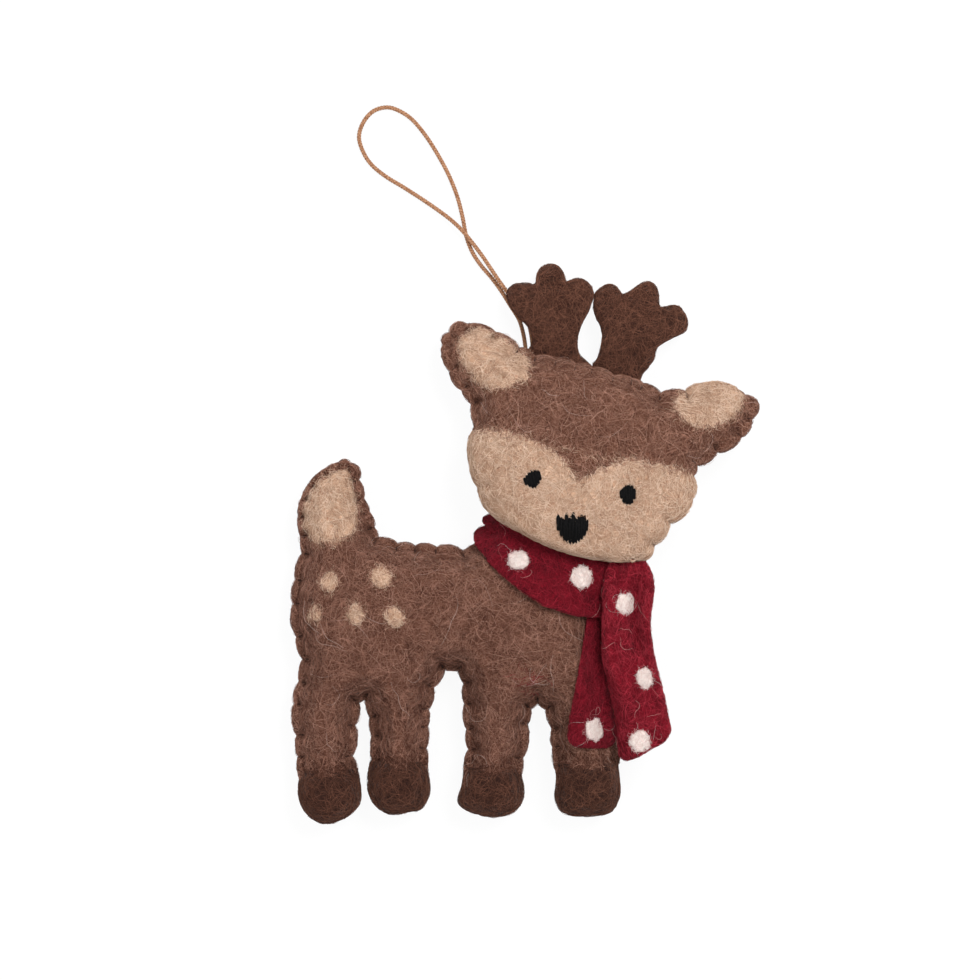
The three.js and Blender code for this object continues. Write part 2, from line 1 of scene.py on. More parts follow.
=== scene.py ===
"""The looks of a stuffed felt reindeer ornament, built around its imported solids.

Plans and heights are in millimetres of the CAD frame, and MM turns them into metres. The ornament lies on
its back: +Z comes out of its front, +Y points to its antlers and +X is the way it faces.
"""

import math

import bpy
import numpy as np
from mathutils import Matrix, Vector, geometry, noise
from mathutils.bvhtree import BVHTree


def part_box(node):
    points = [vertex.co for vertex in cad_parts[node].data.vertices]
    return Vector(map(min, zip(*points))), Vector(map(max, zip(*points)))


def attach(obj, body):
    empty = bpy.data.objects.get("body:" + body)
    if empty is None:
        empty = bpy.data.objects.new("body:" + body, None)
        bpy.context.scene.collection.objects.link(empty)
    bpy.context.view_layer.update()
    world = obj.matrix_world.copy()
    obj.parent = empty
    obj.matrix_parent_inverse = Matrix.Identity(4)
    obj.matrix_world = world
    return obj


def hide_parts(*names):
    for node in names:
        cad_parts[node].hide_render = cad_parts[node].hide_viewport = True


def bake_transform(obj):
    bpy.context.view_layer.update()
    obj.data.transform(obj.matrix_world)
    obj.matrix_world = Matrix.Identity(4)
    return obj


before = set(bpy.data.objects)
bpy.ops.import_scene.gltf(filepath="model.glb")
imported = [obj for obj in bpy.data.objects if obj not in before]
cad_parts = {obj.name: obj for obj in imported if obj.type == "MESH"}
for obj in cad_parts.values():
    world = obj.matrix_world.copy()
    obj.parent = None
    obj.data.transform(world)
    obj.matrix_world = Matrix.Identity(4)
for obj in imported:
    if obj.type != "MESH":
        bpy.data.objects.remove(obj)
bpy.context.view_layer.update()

MM = 0.001
rng = np.random.default_rng(11)

# Camera: straight above the ornament, so far away that the picture is nearly flat
CAMERA_AIM = (-8.0, 12.3, 12.0)
LENS_MM, SENSOR_MM = 200.0, 36.0
VIEW_WIDTH = 225.4

# Hanging cord: its route repeats the CAD route
CORD_DIAMETER = 1.0
CORD_STRANDS = 3
CORD_LAY = 2.0
CORD_STEP = 0.16
STRAND_PLACE, STRAND_RADIUS = 0.26 * CORD_DIAMETER, 0.27 * CORD_DIAMETER
CORD_ROUTE = [
    (0.6, 42.3, 3.3), (0.2, 45.4, 2.6), (-0.3, 48.6, 1.3), (-1.3, 51.9, 0.65), (-3.4, 55.3, 0.65),
    (-5.4, 58.5, 0.65), (-7.6, 61.5, 0.65), (-10, 64.3, 0.65), (-12.1, 67.5, 0.65), (-13.5, 71.2, 0.65),
    (-14.4, 75.8, 0.65), (-15.6, 80.4, 0.65), (-17.4, 85, 0.65), (-19.7, 89.4, 0.65), (-22.7, 94.2, 0.65),
    (-25.9, 98.1, 0.65), (-28.9, 100.2, 0.65), (-31.9, 101.1, 0.65), (-35.1, 100.2, 0.65),
    (-37.4, 97.6, 0.65), (-38.4, 94.2, 0.65), (-37.4, 90.7, 0.65), (-35.4, 87.7, 0.65), (-32.1, 85, 0.65),
    (-28, 82.5, 0.65), (-22.9, 79.2, 0.8), (-17.9, 75.6, 1.6), (-14.8, 72.8, 2.3), (-12.4, 70, 2.1),
    (-10.1, 67, 1.6), (-8.2, 64.2, 2), (-6.2, 61.2, 2.3), (-4, 58.2, 1.6), (-1.6, 55, 0.8),
    (0.6, 51.8, 0.75), (1.5, 48.6, 1.3), (1.9, 45.4, 2.6), (2.3, 42.3, 3.3),
]
CORD_STITCH_ROUTE = [
    (-0.9, 43.2, 4.4), (-0.75, 43.2, 2.9), (1.4, 43.2, 2.1), (3.6, 43.2, 2.9), (3.8, 43.2, 4.4),
]

# Sewn edges. Each stretch says how far the felt bulges between stitches, as a share of their spacing, how
# deep the stitches pull, from 0 where wool or the scarf covers them to 1, and where the stitches are.
BODY_EDGE = [
    # tail
    (0.15, 1.0, [(-34.0, 1.0), (-34.9, 3.6), (-36.1, 7.2), (-37.4, 10.2)]),
    (0.30, 1.0, [(-38.4, 14.6), (-40.2, 18.5)]),
    (0.07, 1.0, [(-43.0, 18.5), (-46.6, 16.9), (-49.6, 13.9), (-51.5, 10.5), (-52.2, 6.1), (-51.7, 1.7)]),
    # rump and outer hind leg
    (0.13, 1.0, [(-51.2, -2.4), (-52.8, -8.4), (-53.3, -13.9), (-52.6, -21.5), (-51.0, -26.8),
        (-51.9, -31.9), (-53.1, -37.1), (-52.4, -44.3), (-52.2, -49.3)]),
    (0.02, 0.0, [(-51.2, -55.3), (-51.0, -60.1), (-48.9, -63.1), (-45.9, -64.3), (-42.5, -63.4),
        (-39.7, -61.5), (-38.6, -58.8)]),
    (0.13, 1.0, [(-39.0, -54.9), (-40.0, -49.1), (-39.3, -42.0), (-38.4, -36.7)]),
    # inner hind leg
    (0.08, 1.0, [(-36.7, -35.8), (-35.6, -40.1), (-35.1, -44.5), (-35.1, -50.3)]),
    (0.02, 0.0, [(-35.8, -53.9), (-35.6, -57.8), (-34.0, -60.4), (-31.0, -62.0), (-27.8, -61.8),
        (-24.8, -61.3), (-22.9, -59.5), (-22.5, -56.5)]),
    (0.12, 1.0, [(-23.2, -53.0), (-22.9, -47.3), (-22.5, -42.4), (-22.3, -38.3), (-21.1, -33.2)]),
    # belly
    (0.07, 1.0, [(-18.6, -29.1), (-15.4, -29.3)]),
    # inner fore leg
    (0.11, 1.0, [(-14.0, -32.3), (-13.7, -37.1), (-13.3, -42.9), (-12.8, -47.5)]),
    (0.02, 0.0, [(-13.7, -52.8), (-14.4, -56.7), (-14.9, -59.7), (-12.6, -61.5), (-6.6, -62.7),
        (-2.5, -61.3), (-0.9, -58.5)]),
    (0.12, 1.0, [(-1.6, -54.4), (-0.6, -49.6), (0.5, -41.7)]),
    # outer fore leg
    (0.07, 1.0, [(1.4, -38.1), (3.0, -36.9), (4.9, -38.3), (6.3, -42.7), (6.5, -47.0)]),
    (0.02, 0.0, [(7.4, -52.6), (7.6, -55.8), (7.4, -58.5), (8.8, -61.3), (11.8, -62.4), (16.4, -62.4),
        (19.8, -61.3), (21.4, -58.5), (21.4, -55.8)]),
    # chest, neck and back
    (0.13, 1.0, [(21.2, -51.6), (21.2, -46.1), (21.9, -40.1), (24.0, -34.6), (25.1, -28.6), (25.4, -22.7),
        (25.4, -16.7), (25.4, -11.2)]),
    (0.08, 1.0, [(24.9, -5.6), (23.3, -0.1), (19.6, 5.4), (14.3, 9.5), (8.1, 12.1), (1.7, 12.1),
        (-2.6, 9.6), (-5.4, 5.2), (-8.2, 1.0)]),
    (0.17, 1.0, [(-14.2, -2.0), (-20.4, -1.0), (-25.2, -0.8), (-29.4, -0.3)]),
]
HEAD_EDGE = [
    # left ear and crown
    (0.14, 1.0, [(-13.3, 50.5), (-6.8, 48.6), (-1.3, 45.0)]),
    (0.13, 0.35, [(2.6, 43.1), (7.2, 42.4), (11.8, 41.3), (15.7, 40.4), (20.5, 38.5), (24.7, 37.8)]),
    # right ear
    (0.14, 1.0, [(27.2, 36.7), (31.3, 34.4), (37.1, 34.9)]),
    (0.05, 0.0, [(40.8, 36.5), (44.0, 37.0), (47.7, 36.0)]),
    (0.40, 1.0, [(50.7, 34.2)]),
    (0.17, 1.0, [(52.3, 28.6), (49.7, 24.5), (44.2, 21.0)]),
    # right cheek, chin and left cheek
    (0.20, 0.3, [(39.4, 18.1), (38.2, 15.3), (38.0, 10.5), (32.7, 5.2), (29.0, 0.1)]),
    (0.03, 0.0, [(27.2, -3.5), (22.8, -3.7), (17.3, -3.2), (11.6, -2.2), (5.3, 0.0), (-1.1, 3.2),
        (-5.7, 5.7)]),
    (0.12, 0.3, [(-8.2, 7.9), (-10.3, 13.2)]),
    (0.05, 0.0, [(-12.2, 17.8), (-12.6, 22.4)]),
    (0.10, 1.0, [(-11.4, 27.0), (-12.1, 32.1)]),
    # left ear
    (0.16, 1.0, [(-14.4, 35.5), (-17.2, 39.9)]),
    (0.32, 1.0, [(-18.8, 45.7), (-17.4, 48.6)]),
]

# How sewn felt lies: the rim of two panels, the stitches in it and the dome inside it
FELT = 2.2
RIM_HALF = 0.5
RIM_ROUND = 1.5
RIM_GROOVE = 0.45
RIM_LEAST = 0.4
RIM_RINGS = (0.2, 0.55, 1.0)
FLANGE = 1.2
PIT_INSET = 1.6
PIT_DEPTH = 2.3
PIT_RADIUS = 0.8
PULL_WIDTH = 0.85
PULL_DEPTH = 1.5
PULL_START, PULL_FADE = (-0.2, 0.8), (1.4, 4.48)
SCALLOP = 0.7
SOFT_START, PLAIN_START = 2.0, 0.5
SEWN_REACH, PLAIN_REACH = (3.5, 7.0), (4.0, 9.0)
SOFT_EDGE = (0.3, 2.5)
FIRM_PULL = 0.4
DOME_SPREAD = 16.0
BODY_STEP, HEAD_STEP, ANTLER_STEP = 0.7, 0.62, 0.7
EDGE_STEP = 0.5
# Waves of unevenness: height, length and change of seed, and how strong they are on each kind of piece
FELT_WAVES = ((0.8, 7.0, 0), (0.14, 2.8, 3), (0.04, 1.4, 5))
BODY_LUMPS, HEAD_LUMPS, ANTLER_LUMPS, HOOF_LUMPS = 0.5, 0.28, 0.28, 0.4

# Body: height of its seam, crowns of its two sides, and how firmly it is stuffed, by place along Y
BODY_SEAM_Z = 7.0
BODY_CROWN, BODY_CROWN_BACK = 14.0, 12.0
BODY_STUFFING = ([-44, -34, -1, 5], [1.3, 0.95, 0.95, 0.6])
NECK_STUFFING = ([-26, -14, -2], [1.0, 0.5, 0.3])
NECK_FROM_X = (-18.0, -8.0)
NECK_BACK_LIFT = 3.2
NECK_BACK_Y = (-14.0, -5.0)
# Its flat back: gap to the table and softness of the flat's edge, before and after the cloth has swollen
BODY_BACK_GAP, BODY_BACK_SOFT = (1.0, 0.05), (2.0, 0.6)
BACK_FULL = 0.6
TABLE_GAP = 0.05
# Where the scarf's ends press the chest in
PRESS_LEFT, PRESS_HALF, PRESS_DEPTH = 0.8, 4.2, 4.0
PRESS_FOOT, PRESS_TOP = (-51.0, -44.0), (-14.0, -6.0)
PRESS_EDGE = (1.5, 6.0)

# Head: its seam leans back from the chin, and the ears hold almost no filling
CHIN_Y, CHIN_SEAM_Z = -4.0, 16.2
HEAD_LEAN = math.tan(math.radians(9.5))
HEAD_CROWN, HEAD_CROWN_BACK = 11.6, 13.0
HEAD_CENTRE, HEAD_HALF = (13.0, 20.0), (26.0, 24.5)
EAR_STUFFING = ([0.95, 1.12], [1.0, 0.06])
REST_GAP = 0.25
SUPPORT_EVENED = (25, 6)
SEAM_GAP, SEAM_SOFT = 1.2, 2.5
HEAD_BACK_SOFT = (0.8, 0.3)

# Antlers, cut from thick felt
ANTLER_FELT = 3.4
ANTLER_ROUND = 2.4
ANTLER_RIM, ANTLER_HALF = 0.15, 0.62
ANTLER_DROP, ANTLER_ROOT_DROP, ANTLER_ROOT = 0.9, 1.9, 8.0
ANTLER_EDGE_STEP, ANTLER_SOFT_EDGE = 0.6, (0.2, 1.5)
LEFT_ROOT_Y, RIGHT_ROOT_Y = 42.5, 39.0
LEFT_ANTLER = [
    (-3.9, 58.5), (-2.7, 59.7), (-1.1, 60.1), (0.8, 60.1), (2.4, 59.8), (2.7, 60.7), (2.9, 62.2),
    (3.7, 63.6), (4.9, 64.4), (6.3, 64.6), (7.6, 64.2), (8.6, 63.1), (9.3, 61.5), (9.5, 60.4), (10.6, 60.8),
    (11.8, 61.2), (13.2, 61.1), (14.5, 60.4), (15.5, 59.2), (15.9, 57.8), (15.8, 56.5), (15.2, 55.1),
    (14.5, 53.2), (13.4, 51.2), (12.6, 49.1), (12.1, 46.8), (12.2, 44.8), (12.9, 43.3), (14.3, 42.0),
    (15.3, 40.6), (13.0, 37.6), (3.8, 39.4), (0.9, 43.6), (1.9, 46.6), (1.4, 48.6), (0.5, 50.6),
    (-0.9, 51.6), (-2.2, 53.2), (-3.4, 55.1), (-4.1, 56.9),
]
RIGHT_ANTLER = [
    (16.3, 57.8), (17.3, 58.8), (18.7, 59.7), (19.8, 59.9), (21.0, 59.5), (21.9, 58.5), (22.6, 57.5),
    (24.2, 58.1), (25.4, 59.0), (26.5, 59.8), (27.7, 60.4), (28.8, 60.5), (30.0, 59.9), (30.7, 58.8),
    (31.0, 57.2), (31.2, 54.8), (32.7, 54.7), (34.6, 55.0), (35.9, 54.6), (37.0, 53.2), (37.7, 51.2),
    (37.5, 49.6), (36.6, 48.6), (33.9, 47.3), (32.0, 46.3), (30.7, 45.4), (30.1, 44.3), (30.0, 43.1),
    (29.5, 42.0), (28.4, 40.6), (27.2, 39.2), (26.7, 37.6), (25.6, 33.4), (19.0, 34.2), (15.9, 40.8),
    (16.6, 42.2), (17.3, 44.0), (17.8, 46.1), (18.0, 48.2), (17.5, 50.3), (16.7, 51.9), (16.1, 53.5),
    (15.9, 54.8), (16.1, 56.4),
]

# Needle-felted wool: outlines in plan
TAIL_LINING = [
    (-41.6, 16.9), (-40.0, 14.6), (-39.5, 10.9), (-38.4, 7.0), (-39.3, 3.1), (-42.0, 0.8), (-45.3, -0.1),
    (-48.5, 0.8), (-50.5, 3.8), (-50.8, 7.7), (-49.6, 11.4), (-47.3, 14.4), (-44.6, 16.2),
]
LEFT_EAR_LINING = [
    (-13.5, 48.6), (-10.3, 49.3), (-6.4, 48.0), (-2.7, 45.7), (0.3, 43.1), (1.2, 40.6), (0.1, 37.8),
    (-3.4, 36.0), (-7.3, 35.8), (-10.8, 36.9), (-13.5, 39.9), (-14.9, 42.9), (-15.1, 45.9),
]
RIGHT_EAR_LINING = [
    (35.2, 33.4), (38.0, 36.1), (41.2, 38.1), (44.2, 38.6), (47.4, 37.6), (49.8, 34.4), (50.0, 32.1),
    (48.4, 29.9), (45.8, 27.8), (42.6, 26.7), (39.4, 27.0), (36.4, 28.6), (34.3, 31.2),
]
FACE_TOP = [
    (-15.8, 25.4), (-8.0, 25.9), (-2.9, 25.2), (1.2, 23.8), (5.6, 21.7), (9.3, 18.5), (12.2, 13.9),
    (15.0, 16.0), (18.7, 17.4), (21.4, 18.7), (25.1, 19.0), (28.8, 18.1), (33.9, 17.4), (38.0, 16.0),
    (43.0, 14.6),
]
FACE_CORNER = 6
FACE_FOOT_X, FACE_FOOT_Y = (60, -30), -12.0
FACE_LIFT = 0.36
CHIN_EDGE = [(26.6, -2.9), (22.6, -3.1), (17.3, -2.6), (11.7, -1.6), (5.5, 0.6), (-0.8, 3.8)]
RUMP_SPOTS = [
    [(-44.6, -6.3), (-43.0, -7.5), (-42.7, -9.5), (-44.1, -11.2), (-45.9, -10.7), (-47.1, -9.3),
     (-46.4, -7.7)],
    [(-33.1, -4.9), (-31.0, -6.1), (-30.3, -8.4), (-31.9, -10.0), (-33.8, -10.0), (-35.4, -8.2),
     (-34.7, -5.9)],
    [(-48.2, -13.5), (-47.3, -14.6), (-46.4, -16.0), (-47.3, -17.6), (-49.2, -17.4), (-49.2, -15.5)],
    [(-38.8, -13.2), (-37.4, -14.4), (-36.5, -16.7), (-37.9, -18.5), (-39.3, -18.5), (-40.7, -16.4),
     (-40.0, -14.4)],
    [(-29.8, -14.1), (-28.5, -15.1), (-27.3, -17.1), (-28.9, -19.0), (-31.2, -18.5), (-32.4, -16.2),
     (-31.5, -14.8)],
]
WOOL_LIFT, WOOL_SINK, WOOL_ROOT = 0.28, 0.3, 0.2
WOOL_FEATHER = 1.7
WOOL_RINGS = (0.25, 0.7)
PATCH_EDGE_STEP = 0.5
PATCH_WAVES = ((0.7, 1.5, 0), (0.4, 0.7, 1))
SPOT_STEP, SPOT_EDGE_STEP = 0.4, 0.35
SPOT_LIFT, SPOT_ROOT, SPOT_GROWTH = 0.45, 0.9, 0.25
SPOT_EDGE, SPOT_EVENED = (-0.1, 1.0), 6
SPOT_BORDER_WAVES, SPOT_WAVES = ((0.2, 0.8, 0),), ((0.06, 0.8, 1),)

# Hooves: dark wool felted over the end of each leg, outlines from the hoof's top edge round its foot
HOOVES = {
    "hind_outer": [(-51.4, -52.5), (-52.2, -56.2), (-51.7, -59.9), (-49.6, -63.1), (-46.4, -64.6),
        (-43.2, -64.1), (-39.7, -62.0), (-38.1, -59.7), (-37.9, -56.5), (-38.6, -52.0)],
    "hind_inner": [(-35.6, -50.2), (-36.2, -54.4), (-35.8, -58.1), (-34.2, -60.6), (-31.5, -62.4),
        (-28.5, -62.4), (-26.4, -61.8), (-24.3, -61.5), (-22.5, -59.2), (-22.0, -56.2), (-22.7, -50.4)],
    "fore_inner": [(-13.8, -51.6), (-14.4, -56.0), (-15.4, -59.5), (-13.5, -61.5), (-10.3, -62.6),
        (-6.4, -63.1), (-2.5, -61.9), (-0.4, -59.0), (-0.4, -56.0), (-1.1, -52.0)],
    "fore_outer": [(7.2, -50.6), (7.4, -55.1), (7.0, -58.3), (8.1, -61.5), (11.1, -62.8), (15.5, -62.9),
        (19.8, -62.0), (21.8, -58.8), (21.9, -55.5), (21.4, -50.6)],
}
HOOF_WOOL = 0.8
HOOF_BLEND = 2.6
HOOF_INNER, HOOF_EVENED = 0.86, 4
HOOF_STEP, HOOF_EDGE_STEP, HOOF_TOP_POINTS = 0.6, 0.55, 24
HOOF_EDGE_ROUND, HOOF_EDGE_LEAST = 2.4, 0.04
HOOF_TABLE_GAP = 0.02
HOOF_WAVES = ((0.9, 1.7, 0),)

# Scarf: the band's place and slant round the neck, and the edges of its two ends
SCARF_FELT = 2.1
BAND_CENTRE = (8.5, -7.1)
BAND_TURN = math.radians(-21.5)
BAND_WIDTH = 12.4
BAND_REACH = (-17.8, 18.6)
BAND_CURVE, BAND_LOWEST_U = -0.0015, 3.0
BAND_TRIM, BAND_TRIM_U = 2.1, (1.0, -15.0)
BAND_SLANT, BAND_FRONT_Z = 0.6, 18.0
BAND_ROUND, BAND_MIDDLE_Z = (20.0, 9.0), 9.5
BAND_ROWS, BAND_COLUMNS = 31, 240
SECTION_STEP, RAY_START, LEAST_FACING = 0.6, 90.0, 0.02
BAND_EVENED = 3
SCARF_EDGE_ROUND = 1.3
BAND_EDGE, BAND_EDGE_LEAST, END_EDGE = 0.3, 0.02, 0.2
# How loose it is, its waves (height, length, width, change round the loop) and its creases on the left
BAND_LOOSE, BAND_SWELL = 0.35, 0.7
BAND_WAVES = ((0.6, 6, 4, 1), (0.4, 2, 2, 4))
PINCH_V = [-6.0, -4.3, -3.4, -2.4, -1.3, 0.0, 1.2, 2.2, 3.0, 3.7, 4.4, 5.2, 6.2, 7.3, 9.0]
PINCH_OUT = [-2.0, -1.2, 0.2, 1.2, 1.9, 1.7, 1.0, 0.0, -0.8, -0.1, 0.9, 1.2, 0.9, 0.4, 0.0]
PINCH_U, PINCH_REACH = -20.0, 5.0
FRONT_END_LEFT = [
    (20.4, -3.2), (18.6, -6.4), (17.8, -10.5), (17.8, -15.3), (17.6, -22.2), (17.8, -26.8), (18.5, -29.6),
    (19.8, -34.8), (20.9, -40.6), (21.3, -45.6), (22.0, -50.9),
]
FRONT_END_RIGHT = [
    (27.7, -4.0), (29.0, -6.6), (29.5, -8.9), (29.3, -12.5), (28.8, -16.4), (28.8, -19.9), (29.3, -24.0),
    (30.0, -27.5), (31.1, -31.6), (32.2, -36.3), (33.3, -41.6), (33.6, -44.6),
]
FRONT_END_TOP_Z = [19.0, 20.4, 20.8, 20.4, 19.8, 19.0, 18.2, 17.6]
BACK_TAIL_LEFT = [
    (15.0, -11.0), (14.3, -17.0), (13.2, -24.5), (12.2, -30.0), (11.3, -34.8), (10.2, -40.6), (9.6, -46.5),
]
BACK_TAIL_Y = [-11.0, -17.6, -24.5, -32.5, -39.7, -47.0]
BACK_TAIL_TOP_Z = [13.0, 14.6, 15.8, 16.6, 16.6, 16.0]
END_ROUND = 2.9
STRIP_STEP = 0.2
BACK_GRID, FRONT_GRID = (80, 19), (120, 33)
LIFT_EVENED = 6
STRIP_WAVES, STRIP_SEED = ((0.4, 3.5, 0), (0.2, 1.4, 2)), 4
FOLD_FELT, FOLD_INSET, FOLD_EVENED = 2.2, 2.0, 4
# Folds of the ends: heights in millimetres, places and widths as shares of their length and width
BACK_STAND, BACK_STAND_FROM, BACK_TUCK = 1.5, (0.1, 0.35), 4.6
FOLD_TOP = (0.05, 0.08)
DENT, DENT_AT = 3.2, (0.16, 0.2)
CREASE, CREASE_AT = 1.2, (0.52, 0.12)
RIDGE, RIDGE_AT, RIDGE_WIDTH, RIDGE_FROM, RIDGE_FADE = 2.0, 0.13, 0.16, (0.08, 0.16), 0.4
RIDGE_DRIFT, RIDGE_DRIFT_RUN = 0.17, (0.4, 0.8)
FLANK, FLANK_FROM = 2.6, (0.4, 0.75)
VALLEY, VALLEY_AT, VALLEY_DRIFT, VALLEY_WIDTH = 3.0, 0.6, 0.25, 0.13
VALLEY_FROM, VALLEY_TO = (0.06, 0.18), (0.42, 0.62)
FRONT_RIM_AT = (0.94, 0.1)
FALL_RIGHT, FALL_LEFT = 1.2, 0.8
TAIL_GAP = 0.25
# Dots of white wool: middle and half sizes
DOTS = {
    "band_dot_1": ((-1.5, -3.8), (2.5, 2.2)), "band_dot_2": ((12.9, -7.7), (2.5, 2.6)),
    "fold_dot": ((22.6, -13.7), (2.0, 2.6)), "front_tail_dot_1": ((27.4, -30.7), (2.0, 2.5)),
    "front_tail_dot_2": ((26.3, -45.1), (2.5, 2.5)), "back_tail_dot": ((15.6, -42.6), (2.0, 2.6)),
}
DOT_POINTS, DOT_REACH, DOT_UNEVEN, DOT_LIFT = 13, 1.1, 0.09, 0.5
DOT_FRINGE_POINTS, DOT_FRINGE_REACH = 40, 0.96

# Embroidery: each thread from its top end to its bottom end
LEFT_EYE_THREADS = [
    ((-0.1, 14.9), (0.5, 13.5)), ((0.4, 15.6), (1.2, 13.0)), ((0.9, 16.2), (1.9, 12.8)),
    ((1.5, 16.6), (2.5, 12.9)), ((2.2, 16.8), (3.0, 13.6)), ((2.9, 16.6), (3.4, 14.6)),
]
RIGHT_EYE_THREADS = [
    ((21.9, 12.2), (22.0, 10.4)), ((22.4, 12.9), (22.5, 9.4)), ((23.0, 13.3), (23.1, 9.0)),
    ((23.6, 13.6), (23.7, 8.9)), ((24.2, 13.4), (24.2, 9.3)), ((24.8, 12.6), (24.7, 10.2)),
]
NOSE_THREADS = [
    ((7.5, 6.5), (7.6, 3.2)), ((8.2, 6.0), (8.3, 1.7)), ((8.9, 5.7), (9.0, 0.8)), ((9.4, 6.9), (9.6, 0.3)),
    ((10.2, 6.1), (10.2, 0.0)), ((10.9, 7.1), (10.9, 0.0)), ((11.6, 6.0), (11.6, 0.2)),
    ((12.2, 6.2), (12.2, 0.6)), ((12.8, 6.6), (12.8, 1.1)), ((13.4, 6.4), (13.4, 1.8)),
    ((14.0, 5.4), (13.9, 3.0)),
]
EMBROIDERY_THREAD = 0.95
SATIN_POINTS, SATIN_STEP, SATIN_SIDES = 9, 0.25, 8
SATIN_SINK, SATIN_RISE, SATIN_ARCH, SATIN_UNEVEN = 0.45, 0.75, 0.4, 0.03

# Sewing thread: a whip stitch goes from its pit over the lip and round the edge, this far inside the edge
SEWING_THREAD = 0.36
THREAD_STEP, THREAD_SIDES, WHIP_SIDES = 0.3, 6, 5
WHIP_LIP, WHIP_EDGE, WHIP_OUT = 0.45, 0.22, 0.25
WHIP_DEEP, WHIP_SUNK, WHIP_LIP_SUNK, WHIP_HALF = 0.5, 0.05, 0.02, 0.25

# Loose fibres: corners round and points along, thin tips, how they hover over the felt and how they bend
FIBRE_SIDES, FIBRE_POINTS, HAIR_POINTS = 3, 7, 15
TIP_TURN, TIP_THICK = 0.1, 0.45
HOVER_LEAST, HOVER_ARCH, HOVER_STRAY = 0.55, 1.3, 2.5
BEND_KEPT = 0.7
UNDERSIDE, UNDERSIDE_SHARE = -0.2, 0.35
FRINGE_STEP, FACE_EDGE_SKIPPED, HOOF_FRINGE_POINTS = 0.4, 12, 30
CREAM_DARK_SHARE = 0.3
# Red fibres that the scarf has shed on the chest
CHEST_RED, CHEST_RED_SPREAD, CHEST_RED_COUNT = (1.2, -31.4), 1.5, 36

# A height far from the ornament, a length near nothing and a direction that none of its lines runs along
FAR = 100.0
TINY = 1e-9
SIDEWAYS = (0.31, 0.17, 0.93)


def linked(obj):
    bpy.context.scene.collection.objects.link(obj)
    return obj


class Piece:
    """A closed mesh, given in millimetres, with its Blender object."""

    def __init__(self, name, verts, faces, material):
        self.name, self.verts, self.faces = name, np.asarray(verts, float), faces
        self.mesh = bpy.data.meshes.new(name)
        self.mesh.from_pydata((self.verts * MM).tolist(), [], faces)
        self.mesh.shade_smooth()
        self.mesh.materials.append(material)
        self.object = linked(bpy.data.objects.new(name, self.mesh))


class Skin(Piece):
    """A piece whose surface other pieces lie on, with a tree to find that surface."""

    def __init__(self, name, verts, faces, material):
        super().__init__(name, verts, [tuple(int(i) for i in face) for face in faces], material)
        self.tree = BVHTree.FromPolygons(self.verts.tolist(), self.faces)

    def plumb(self, x, y, side):
        """Height where a plumb line first meets the skin from one side, or None beside it."""
        hit = self.tree.ray_cast(Vector((x, y, side * FAR)), Vector((0, 0, -side)))[0]
        return None if hit is None else hit.z

    def top(self, x, y):
        return self.plumb(x, y, 1)

    def under(self, x, y):
        return self.plumb(x, y, -1)

    def normals(self):
        flat = np.zeros(len(self.verts) * 3)
        self.mesh.vertex_normals.foreach_get("vector", flat)
        return flat.reshape(-1, 3)


def place(piece, slot, nodes=(), rider="root", bends=False):
    """Hide the solids that a piece stands for and attach it to what it rides on. Its slot is not used.

    One that bends has its place baked into its mesh and is attached to no body.
    """
    if bends:
        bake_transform(piece.object)
    else:
        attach(piece.object, rider)
    if nodes:
        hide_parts(*nodes)
    return piece


# Curves and shares
def smooth_step(low, high, value):
    share = np.clip((value - low) / (high - low), 0, 1)
    return share * share * (3 - 2 * share)


def smooth_min(a, b, width):
    mix = np.clip(0.5 + 0.5 * (b - a) / width, 0, 1)
    return b + (a - b) * mix - width * mix * (1 - mix)


def smooth_max(a, b, width):
    return -smooth_min(-a, -b, width)


def bell(value, middle, width):
    """1 in the middle, falling off to both sides."""
    return np.exp(-(((value - middle) / width) ** 2))


def rounded(share, least=0.0):
    """Height of a round edge, from its rim at share 0 to its full height at share 1."""
    return np.sqrt(1 - (1 - np.clip(share, least, 1)) ** 2)


WAVE_SHIFT = (17.3, 5.7, 11.1)


def waves(points, length, seed):
    """Soft random heights from -1 to 1 over points in plan, about length apart."""
    shift = Vector([seed * step for step in WAVE_SHIFT])
    return np.array([noise.noise(Vector((x, y, 0)) / length + shift) for x, y in points])


def lumps(points, layers, seed):
    """Unevenness of hand-made felt: layers of waves, each with a height, a length and a change of seed."""
    return sum(height * waves(points, length, seed + change) for height, length, change in layers)


def evened(grid, axis, wrapped=False):
    """A grid of values, evened out with its neighbours along one axis."""
    sides, count = [(0, 0), (0, 0)], grid.shape[axis]
    sides[axis] = (1, 1)
    wide = np.pad(grid, sides, mode="wrap" if wrapped else "edge")
    return (np.take(wide, range(count), axis) + 2 * grid + np.take(wide, range(2, count + 2), axis)) / 4


# Lines and outlines
def unit(vectors):
    return vectors / np.maximum(np.linalg.norm(vectors, axis=-1, keepdims=True), TINY)


def crossways(lines):
    """Two unit vectors across lines at each of their points."""
    along = unit(np.gradient(lines, axis=-2))
    side = unit(np.cross(along, SIDEWAYS))
    return side, np.cross(side, along)


def run_along(line):
    """How far along a line each of its points is."""
    return np.concatenate([[0], np.cumsum(np.linalg.norm(np.diff(line, axis=0), axis=1))])


def respaced(line, count):
    along = run_along(line)
    at = np.linspace(0, along[-1], count)
    return np.stack([np.interp(at, along, line[:, k]) for k in range(line.shape[1])], axis=1)


SPLINE_SPAN = 16


